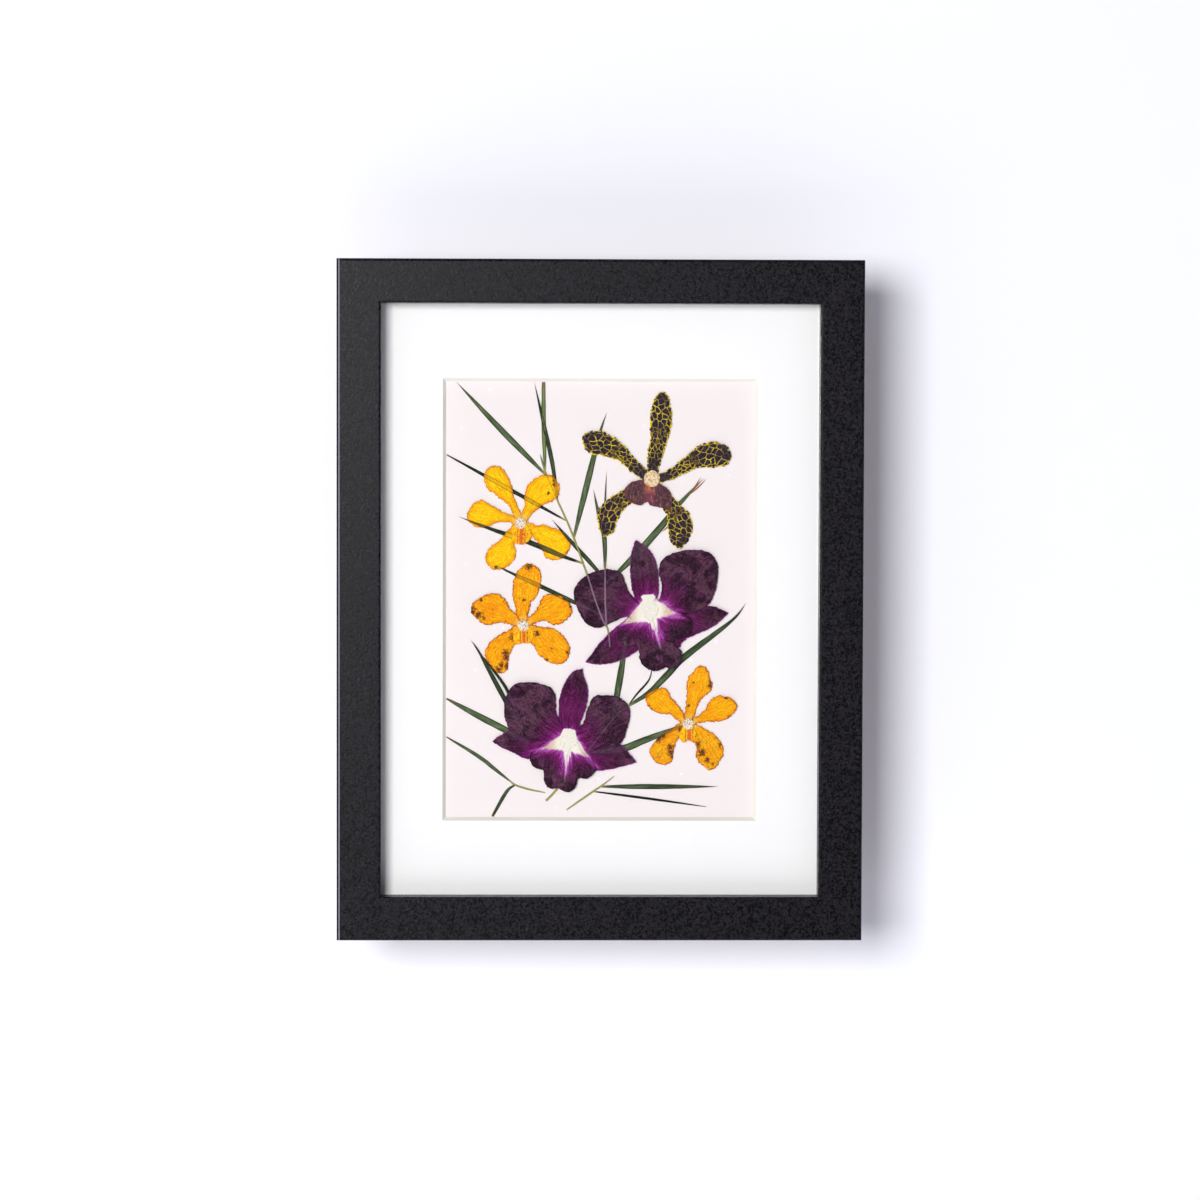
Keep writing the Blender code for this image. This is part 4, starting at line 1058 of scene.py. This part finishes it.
# Bruises and dark spots, from each flower's middle: x, y and radius in mm.
STAINS = {
    "yellow_orchid_upper": ((11.0, 11.7, 0.7), (13.1, 14.8, 0.8), (13.0, 16.6, 0.6), (-9.4, -17.3, 0.9),
                            (18.5, -11.5, 0.8)),
    "yellow_orchid_middle": (
        (-19.7, 5.5, 1.7), (-17.2, 4.1, 1.7), (-15.3, 2.9, 0.9), (-16.3, 9.9, 0.8), (2.2, 22.8, 1.4),
        (0.3, 9.9, 0.8), (18.5, 7.5, 0.8), (9.3, -13.4, 0.8), (17.3, -10.5, 0.8), (11.0, -9.0, 0.6),
        (5.6, -3.2, 1.4), (-6.5, -12.5, 1.7), (-6.0, -15.9, 1.6), (-6.8, -10.5, 1.4), (-8.5, -15.4, 1.3),
        (-4.1, -4.7, 1.5), (-9.4, -17.3, 1.5),
    ),
    "yellow_orchid_lower": (
        (0.1, 7.3, 0.75), (2.0, 16.2, 0.5), (8.5, 16.8, 0.8), (8.3, 15.0, 1.2), (14.6, 10.2, 0.9),
        (16.1, 2.7, 0.9), (12.4, -8.3, 0.9), (5.4, -11.2, 1.7), (3.9, -7.8, 1.3), (9.8, -15.6, 0.7),
        (2.4, -12.7, 0.9), (-6.8, -11.2, 1.7), (-7.1, -9.3, 1.5), (-2.9, -2.2, 1.4), (-10.0, -4.4, 1.6),
        (-11.7, -6.1, 1.5), (-5.9, -12.9, 1.1), (-14.6, 5.4, 0.8), (-15.4, 6.8, 0.7), (7.5, -14.0, 1.2),
    ),
}
SPOKE_COUNT = 7.0
SPOKE_STRETCH = 0.1


def stains_at(off, flower):
    """How deep each point lies in a bruise: 1 at its middle and 0 at its rim."""
    deepest = np.full(len(off), -1.0)
    for x, y, radius in STAINS.get(flower, ()):
        deepest = np.maximum(deepest, 1.0 - np.hypot(off[:, 0] - x, off[:, 1] - y) / radius)
    return deepest


def petal_mesh(node, middle, settings, ruffle, creases, ridge=0.05):
    """A pressed petal over its CAD outline: thin, wrinkled, and ridged by what lies beneath it."""
    ring, floor = back_ring(node)
    seed = sum(ord(letter) for letter in node) * 0.37
    ring = smooth_ring(ring, ruffle, seed)
    middle = np.array(middle)
    axis = Vector(np.mean(ring, axis=0) - middle)
    axis = axis.normalized() if axis.length > 1.0 else Vector((0.0, -1.0))
    work = bmesh.new()
    work.faces.new([work.verts.new(place.to_3d()) for place in ring])
    cut_in_cells(work, axis, settings.fineness / MM)
    raise_body(work)
    bmesh.ops.recalc_face_normals(work, faces=work.faces)
    mesh = mesh_from(work, node)

    co = np.zeros(len(mesh.vertices) * 3, np.float32)
    mesh.vertices.foreach_get("co", co)
    co = co.reshape(-1, 3).astype(float)
    flat = co[:, :2].copy()
    margin = margin_of(flat, ring)
    along, across = lengthwise(flat, ring, middle, np.array(axis))
    beneath, stalk = beneath_of(flat, floor), beneath_of(flat, floor, stems=True)
    off = flat - middle
    reach = np.hypot(off[:, 0], off[:, 1])
    turned = np.stack((off @ np.array(axis), off @ np.array(axis.orthogonal())), axis=1)
    wrinkle = settings.wrinkle / MM
    relief = wrinkle * creases * noise_field(turned, 0.9, seed, (0.45, 1.3))
    relief += wrinkle * creases * 0.8 * noise_field(turned, 0.35, seed + 3.0)
    relief += wrinkle * 0.5 * noise_field(turned, 2.4, seed + 5.0, (0.5, 1.2))
    relief += 0.5 * wrinkle * np.cos(across * 6 * math.pi) * smooth_share(margin, 0.0, 1.0)
    relief += ridge * smooth_share(np.minimum(beneath, stalk), 1.6, 0.7)
    relief *= smooth_share(margin, -0.2, 0.6)
    body = settings.thickness / MM * (0.45 + 0.55 * smooth_share(margin, 0.0, 0.5))
    co[:, 2] = floor + 0.02 + relief + co[:, 2] * body
    mesh.vertices.foreach_set("co", co.astype(np.float32).ravel())
    mesh.transform(PRESSED)

    unit = off / np.maximum(reach, 0.01)[:, None]
    flower = next(name for name in FLOWERS if node.startswith(name))
    store(
        mesh, margin=margin, along=along, across=across, beneath=beneath, stalk=stalk, reach=reach,
        stain=stains_at(off, flower), shows=np.full(len(flat), SHOWING_AND_RIDGE_LIGHT.get(node, 0.0)),
        local=np.column_stack((off, reach)), turned=np.column_stack((turned, np.full(len(turned), seed))),
        spoke=np.column_stack((unit * SPOKE_COUNT, reach * SPOKE_STRETCH)),
    )
    mesh.shade_smooth()
    return mesh


def add_dome(mesh, middle, radius, bottom, top, seed, material_index):
    """Add a low granular button to a mesh, over the flower's middle."""
    work = bmesh.new()
    work.from_mesh(mesh)
    made = bmesh.ops.create_icosphere(work, subdivisions=5, radius=1.0)["verts"]
    half = (top - bottom) / 2
    for vert in made:
        spot = vert.co.copy()
        lumps = noise.noise(spot * 3.1 + Vector((seed, 0, 0))) + 0.6 * noise.noise(spot * 7.0)
        rim = 1.0 + 0.10 * noise.noise(Vector((spot.x, spot.y, 0)) * 1.6 + Vector((0, seed, 0)))
        dimple = 0.45 * math.exp(-((spot.x ** 2 + spot.y ** 2) / 0.09)) if spot.z > 0 else 0.0
        vert.co.x = middle[0] + spot.x * radius * rim * (1 + 0.03 * lumps)
        vert.co.y = middle[1] + spot.y * radius * rim * (1 + 0.03 * lumps)
        vert.co.z = bottom + half + half * (spot.z * (1 - dimple) + (0.28 * lumps if spot.z > 0 else 0.0))
        vert.co = PRESSED @ vert.co
    for face in {face for vert in made for face in vert.link_faces}:
        face.material_index = material_index
        face.smooth = True
    work.to_mesh(mesh)
    work.free()


def make_petals(flowers, parts, settings, material_of, slot, ruffle, creases, ridge=0.05):
    """Make the named pieces of each flower."""
    for flower, middle in flowers.items():
        for part in parts:
            node = f"{flower}_{part}"
            mesh = petal_mesh(node, middle, settings, ruffle, creases, ridge)
            as_piece(f"pressed_{node}", mesh, [material_of(flower, part)], slot, node)


LEAF_STEP = 0.7
LEAF_CELLS = 10
STEM_HEIGHT = 0.2
LIFT = 0.007


def strip_layers(work):
    """The numbers that the foliage's material reads."""
    return {key: work.verts.layers.float.new(key) for key in ("along", "across", "tone", "stem")}


def add_strip(work, strip, order, is_stem, floor, thickness):
    """Add one leaf or stem to a sprig: a grid laid along its line, folded at the midrib."""
    line = smooth_line(strip.line, LEAF_STEP)
    last = len(line) - 1
    part = bmesh.new()
    bmesh.ops.create_grid(part, x_segments=last, y_segments=LEAF_CELLS, size=0.5)
    raise_body(part)
    layers = strip_layers(part)
    for vert in part.verts:
        share, across, is_top = vert.co.x + 0.5, vert.co.y * 2, vert.co.z
        index = round(share * last)
        ahead, behind = line[min(index + 1, last)], line[max(index - 1, 0)]
        nibble = 1 + 0.07 * noise.noise(Vector((index * LEAF_STEP * 0.3, order, math.copysign(3, across))))
        half = half_width(strip, share) * (1.0 if is_stem else nibble)
        side = (ahead - behind).orthogonal().normalized() * max(half, 0.03) * across
        if is_stem:
            body = STEM_HEIGHT * math.sqrt(max(0.02, 1 - across * across))
        else:
            fold = math.exp(-((across / 0.16) ** 2))
            wave = noise.noise(Vector((index * LEAF_STEP * 0.25, across, order * 3.1)))
            body = thickness * (1 - 0.45 * abs(across) ** 3 - 0.4 * fold + 0.25 * wave)
        height = floor + LIFT * order + is_top * body
        vert.co = Vector((*(line[index] + side), height))
        vert[layers["along"]] = 0.5 if is_stem else share
        vert[layers["across"]] = across
        vert[layers["tone"]] = strip.tone
        vert[layers["stem"]] = float(is_stem)
    bmesh.ops.remove_doubles(part, verts=part.verts, dist=0.002)
    bmesh.ops.recalc_face_normals(part, faces=part.faces)
    held = mesh_from(part, "strip")
    work.from_mesh(held)
    bpy.data.meshes.remove(held)


def make_sprig(name, strips, material, thickness):
    """A stem with its leaves, in place of its CAD node."""
    work = bmesh.new()
    strip_layers(work)
    floor = heights_off_paper(name)[1]
    for order, strip in enumerate(strips):
        add_strip(work, strip, order, order < STEM_COUNTS.get(name, 0), floor, thickness)
    bmesh.ops.transform(work, matrix=PRESSED, verts=work.verts)
    mesh = mesh_from(work, name)
    mesh.shade_smooth()
    as_piece(f"pressed_{name}", mesh, [material], "dry_leaf", name)


RAILS = ("rail_top", "rail_bottom", "rail_left", "rail_right")
MITRE_CLOSING = 0.00004
ARRIS_DEPTH = 0.005
SHORTEST_ARRIS = 0.1


def make_rail(node, materials, rounding):
    """A rail with rounded arrises: foil on its shown sides and bare core behind."""
    work = with_whole_faces(node)
    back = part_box(node)[1].y
    for face in work.faces:
        face.smooth = False
    ends = [face for face in work.faces if min(abs(face.normal.x), abs(face.normal.z)) > 0.6]
    shifts = {vert: face.normal * MITRE_CLOSING for face in ends for vert in face.verts}
    for vert, shift in shifts.items():
        vert.co += shift
    long_edges = [
        edge for edge in work.edges
        if abs(edge.verts[0].co.y - edge.verts[1].co.y) < 0.00001
        and edge.calc_length() > SHORTEST_ARRIS
        and min(vert.co.y for vert in edge.verts) < OUTER[0].y + ARRIS_DEPTH
    ]
    rounded = bmesh.ops.bevel(
        work, geom=long_edges, offset=rounding, segments=4, profile=0.5, affect="EDGES", material=-1,
        clamp_overlap=True,
    )["faces"]
    for face in rounded:
        face.smooth = True
    # The foil ends at the back and inside the rebate.
    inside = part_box("back_board")
    for face in work.faces:
        middle = face.calc_center_median()
        within = abs(middle.x) < inside[1].x + MM and inside[0].z - MM < middle.z < inside[1].z + MM
        face.material_index = int(middle.y > back - 0.0001 or (within and middle.y > PAPER_FRONT - 0.004))
    as_piece(f"finished_{node}", mesh_from(work, node), materials, "black_foil", node)


def coat(node, material):
    """Give a CAD node a finish."""
    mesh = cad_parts[node].data
    mesh.materials.clear()
    mesh.materials.append(material)


# ---------------------------------------------------------------- operators


class PRESSED_OT_rails(bpy.types.Operator):
    """Wrap the four rails in black foil over their fibreboard core"""

    bl_idname = "pressed.rails"
    bl_label = "Rails"

    def execute(self, context):
        settings = context.scene.pressed_frame
        materials = [foil_material(settings), core_material(settings)]
        for node in RAILS:
            make_rail(node, materials, settings.rounding)
        return {"FINISHED"}


class PRESSED_OT_sheets(bpy.types.Operator):
    """Finish the glass, the window mat and the backing paper"""

    bl_idname = "pressed.sheets"
    bl_label = "Glass, mat and paper"

    def execute(self, context):
        settings = context.scene.pressed_sheets
        coat("glass", glass_material())
        coat("backing_paper", paper_material(settings))
        work = with_whole_faces("window_mat")
        for face in work.faces:
            face.material_index = int(0.1 < abs(face.normal.y) < 0.99)
        mesh = mesh_from(work, "window_mat")
        face_card = card_material("white_card", settings.card, 0.00001)
        core = card_material("card_core", settings.card_core, 0.00003)
        as_piece("finished_window_mat", mesh, [face_card, core], "white_card", "window_mat")
        return {"FINISHED"}


class PRESSED_OT_back(bpy.types.Operator):
    """Finish the back board, the retaining tabs, the hanger and its nails"""

    bl_idname = "pressed.back"
    bl_label = "Back and fittings"

    def execute(self, context):
        settings = context.scene.pressed_frame
        coat("back_board", board_material(settings))
        steel = steel_material(settings)
        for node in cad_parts:
            if node.startswith(("retaining_tab", "hanger")):
                coat(node, steel)
        return {"FINISHED"}


class PRESSED_OT_yellow_orchids(bpy.types.Operator):
    """Press the three small yellow orchids"""

    bl_idname = "pressed.yellow_orchids"
    bl_label = "Yellow orchids"

    def execute(self, context):
        petals = context.scene.pressed_petals
        # Depth of colour, amount of stains, and the height below which the folds are olive.
        looks = {
            "yellow_orchid_upper": (-0.22, 0.02, 0.0),
            "yellow_orchid_middle": (0.56, 0.14, 0.0),
            "yellow_orchid_lower": (0.46, 0.12, MIDDLE.z / MM - 50.0),
        }
        materials = {
            flower: yellow_material(f"yellow_petal_{flower.rsplit('_', 1)[1]}", petals, *look)
            for flower, look in looks.items()
        }
        make_petals(YELLOW_ORCHIDS, SEPALS + PETALS, petals, lambda flower, part: materials[flower],
                    "yellow_petal", 0.34, 1.3)
        lip = yellow_lip_material(petals)
        column = column_material("pale_column", tint(246, 234, 214), tint(158, 104, 62), 0.08)
        for flower, middle in YELLOW_ORCHIDS.items():
            node = f"{flower}_lip_and_column"
            top, bottom = heights_off_paper(node)
            mesh = petal_mesh(node, middle, petals, 0.2, 2.0)
            add_dome(mesh, middle, 2.1, bottom + 0.05, top, middle[0], 1)
            as_piece(f"pressed_{node}", mesh, [lip, column], "yellow_petal", node)
        return {"FINISHED"}


class PRESSED_OT_purple_orchids(bpy.types.Operator):
    """Press the two large purple orchids"""

    bl_idname = "pressed.purple_orchids"
    bl_label = "Purple orchids"

    def execute(self, context):
        petals = context.scene.pressed_petals
        dark_rim = deepened(petals.plum, 0.3)
        bright_rim = tint(128, 36, 124)
        # How far the magenta reaches from the middle of the upper and the lower flower in mm, the rim's
        # colour, and the strength of the painted highlight and painted shade on its wrinkles.
        looks = {
            "petal": ((13.0, 12.0), dark_rim, 1.0),
            "dorsal": ((12.0, 21.0), bright_rim, 0.7),
            "sepal": ((21.0, 19.0), bright_rim, 0.6),
            "lip": ((11.0, 11.0), dark_rim, 0.9),
        }
        materials = {
            (flower, part): purple_material(f"{flower}_{part}", petals, glows[index], heart, rim, painted_crease_light)
            for index, (flower, heart) in enumerate(HEARTS.items())
            for part, (glows, rim, painted_crease_light) in looks.items()
        }

        def material_of(flower, part):
            return materials[flower, part.split("_")[0]]

        make_petals(PURPLE_ORCHIDS, SEPALS + PETALS + ("lip",), petals, material_of, "purple_petal",
                    0.24, 1.6)
        cream = column_material("cream_column", petals.cream, tint(206, 186, 150), -0.04, 0.88)
        make_petals(PURPLE_ORCHIDS, ("column",), petals, lambda flower, part: cream, "cream_column",
                    0.3, 2.0)
        return {"FINISHED"}


class PRESSED_OT_spotted_orchid(bpy.types.Operator):
    """Press the spotted orchid"""

    bl_idname = "pressed.spotted_orchid"
    bl_label = "Spotted orchid"

    def execute(self, context):
        petals = context.scene.pressed_petals
        spotted = spotted_material(petals)
        make_petals(SPOTTED_ORCHID, SEPALS + PETALS, petals, lambda flower, part: spotted,
                    "spotted_petal", 0.4, 1.2, ridge=0.0)
        brown = brown_lip_material(petals)
        make_petals(SPOTTED_ORCHID, ("lip",), petals, lambda flower, part: brown, "brown_lip", 0.3, 2.0)
        node = "spotted_orchid_column"
        top, bottom = heights_off_paper(node)
        mesh = bpy.data.meshes.new(node)
        add_dome(mesh, SPOTTED_ORCHID["spotted_orchid"], 3.1, bottom - 0.05, top, 4.0, 0)
        peach = column_material("peach_column", petals.peach, tint(196, 142, 78), 0.1)
        as_piece(f"pressed_{node}", mesh, [peach], "cream_column", node)
        return {"FINISHED"}


class PRESSED_OT_foliage(bpy.types.Operator):
    """Press the sprigs and the single blades"""

    bl_idname = "pressed.foliage"
    bl_label = "Foliage"

    def execute(self, context):
        settings = context.scene.pressed_foliage
        material = foliage_material(settings)
        for name, strips in SPRIGS.items():
            make_sprig(name, strips, material, settings.thickness / MM)
        return {"FINISHED"}


class PRESSED_OT_stage(bpy.types.Operator):
    """Set the wall and floor, the lamps and the camera"""

    bl_idname = "pressed.stage"
    bl_label = "Stage"

    def execute(self, context):
        scene = context.scene
        settings = scene.pressed_stage
        make_backdrop(settings)
        # Each lamp's power in watts, its size, and its offset from the middle of the frame.
        add_lamp("key_lamp", settings.key, 1.0, (-0.9, -2.72, 0.36))
        add_lamp("back_lamp", 14.0, 0.8, (0.9, 1.1, 0.6))
        add_lamp("side_lamp", 1.2, 0.6, (1.5, 0.15, 0.3))
        set_sky(scene, settings.sky)
        add_camera(scene, settings)
        scene.view_settings.view_transform = "Standard"
        return {"FINISHED"}


WALL_REACH = 2.2
FLOOR_DROP = 0.75
COVE = 0.3


def make_backdrop(settings):
    """A wall that curves into a floor, drawn out sideways, and seen only from its front."""
    work = bmesh.new()
    wall_y = OUTER[1].y + settings.standoff
    floor_z = OUTER[0].z - FLOOR_DROP
    start = work.verts.new((-WALL_REACH, wall_y, WALL_REACH))
    bend = work.verts.new((-WALL_REACH, wall_y, floor_z + COVE))
    work.edges.new((start, bend))
    turn = bmesh.ops.spin(
        work, geom=[bend], cent=(0, wall_y - COVE, floor_z + COVE), axis=(1, 0, 0), steps=12,
        angle=math.radians(-90), dvec=(0, 0, 0), use_duplicate=False,
    )["geom_last"]
    foot = next(item for item in turn if isinstance(item, bmesh.types.BMVert))
    end = work.verts.new((-WALL_REACH, -WALL_REACH, floor_z))
    work.edges.new((foot, end))
    bmesh.ops.remove_doubles(work, verts=work.verts, dist=0.0001)
    drawn = bmesh.ops.extrude_edge_only(work, edges=work.edges[:])["geom"]
    across = [item for item in drawn if isinstance(item, bmesh.types.BMVert)]
    bmesh.ops.translate(work, vec=(2 * WALL_REACH, 0, 0), verts=across)
    for face in work.faces:
        middle = face.calc_center_median()
        face.normal_update()
        to_front = Vector((0, -1, 0)) if middle.z > floor_z + COVE else Vector((0, -0.5, 1))
        if face.normal.dot(to_front) < 0:
            face.normal_flip()
        face.smooth = True
    mesh = mesh_from(work, "backdrop")
    backdrop = put_in_scene("backdrop", mesh)
    material, tree = new_material("wall", roughness=0.95, Base_Color=solid(settings.wall))
    let_through(tree, most(put(tree, "NewGeometry")["Backfacing"], put(tree, "LightPath")["Is Shadow Ray"]))
    mesh.materials.append(material)


def add_lamp(name, power, size, offset):
    """A square soft lamp at an offset from the middle of the frame, facing it."""
    lamp = bpy.data.lights.new(name, "AREA")
    lamp.energy = power
    lamp.size = size
    placed = put_in_scene(name, lamp)
    placed.location = MIDDLE + Vector(offset)
    placed.rotation_euler = (-Vector(offset)).to_track_quat("-Z", "Y").to_euler()


# The sky's colour, and its strength in reflections and as the camera sees it.
SKY_COLOUR = (0.80, 0.86, 1.0, 1.0)
MIRRORED = 0.03
SEEN = 0.95


def set_sky(scene, strength):
    """Even light all round, which the camera sees as a bright room."""
    world = bpy.data.worlds.new("studio")
    scene.world = world
    world.use_nodes = True
    tree = world.node_tree
    path = put(tree, "LightPath")
    light = tree.nodes["Background"]
    level = path["Is Diffuse Ray"] * (strength - MIRRORED) + MIRRORED
    feed(tree, light, {"Color": SKY_COLOUR, "Strength": level})
    seen = put(tree, "Background", {"Color": WHITE, "Strength": SEEN})[0]
    mixed = put(tree, "MixShader", {0: path["Is Camera Ray"], 1: Outputs(tree, light)[0], 2: seen})[0]
    feed(tree, tree.nodes["World Output"], {"Surface": mixed})


CAMERA_OFF_AXIS = Vector((-0.0312, 0.0, 0.0592))
CAMERA_TURN = (87.591, -0.162, -1.267)
SENSOR = 36.0


def add_camera(scene, settings):
    """The camera, a little left of the frame's middle and above it."""
    data = bpy.data.cameras.new("camera")
    data.sensor_width = SENSOR
    data.lens = settings.lens
    camera = put_in_scene("camera", data)
    camera.location = Vector((MIDDLE.x, OUTER[0].y - settings.distance, MIDDLE.z)) + CAMERA_OFF_AXIS
    camera.rotation_euler = [math.radians(angle) for angle in CAMERA_TURN]
    scene.camera = camera


class PRESSED_PT_panel(bpy.types.Panel):
    """The steps that build the frame's finishes"""

    bl_idname = "PRESSED_PT_panel"
    bl_label = "Pressed flower frame"
    bl_space_type = "VIEW_3D"
    bl_region_type = "UI"
    bl_category = "Pressed flowers"

    def draw(self, context):
        for operator in OPERATORS:
            self.layout.operator(operator.bl_idname)


GROUPS = {
    "pressed_frame": FrameSettings,
    "pressed_sheets": SheetSettings,
    "pressed_petals": PetalSettings,
    "pressed_foliage": FoliageSettings,
    "pressed_stage": StageSettings,
}
OPERATORS = (
    PRESSED_OT_rails,
    PRESSED_OT_sheets,
    PRESSED_OT_back,
    PRESSED_OT_yellow_orchids,
    PRESSED_OT_purple_orchids,
    PRESSED_OT_spotted_orchid,
    PRESSED_OT_foliage,
    PRESSED_OT_stage,
)


def register():
    for group in GROUPS.values():
        bpy.utils.register_class(group)
    for name, group in GROUPS.items():
        setattr(bpy.types.Scene, name, PointerProperty(type=group))
    for operator in OPERATORS:
        bpy.utils.register_class(operator)
    bpy.utils.register_class(PRESSED_PT_panel)


def unregister():
    bpy.utils.unregister_class(PRESSED_PT_panel)
    for operator in reversed(OPERATORS):
        bpy.utils.unregister_class(operator)
    for name in GROUPS:
        delattr(bpy.types.Scene, name)
    for group in reversed(GROUPS.values()):
        bpy.utils.unregister_class(group)


def main():
    register()
    bpy.ops.pressed.rails()
    bpy.ops.pressed.sheets()
    bpy.ops.pressed.back()
    bpy.ops.pressed.yellow_orchids()
    bpy.ops.pressed.purple_orchids()
    bpy.ops.pressed.spotted_orchid()
    bpy.ops.pressed.foliage()
    bpy.ops.pressed.stage()


if __name__ == "__main__":
    main()
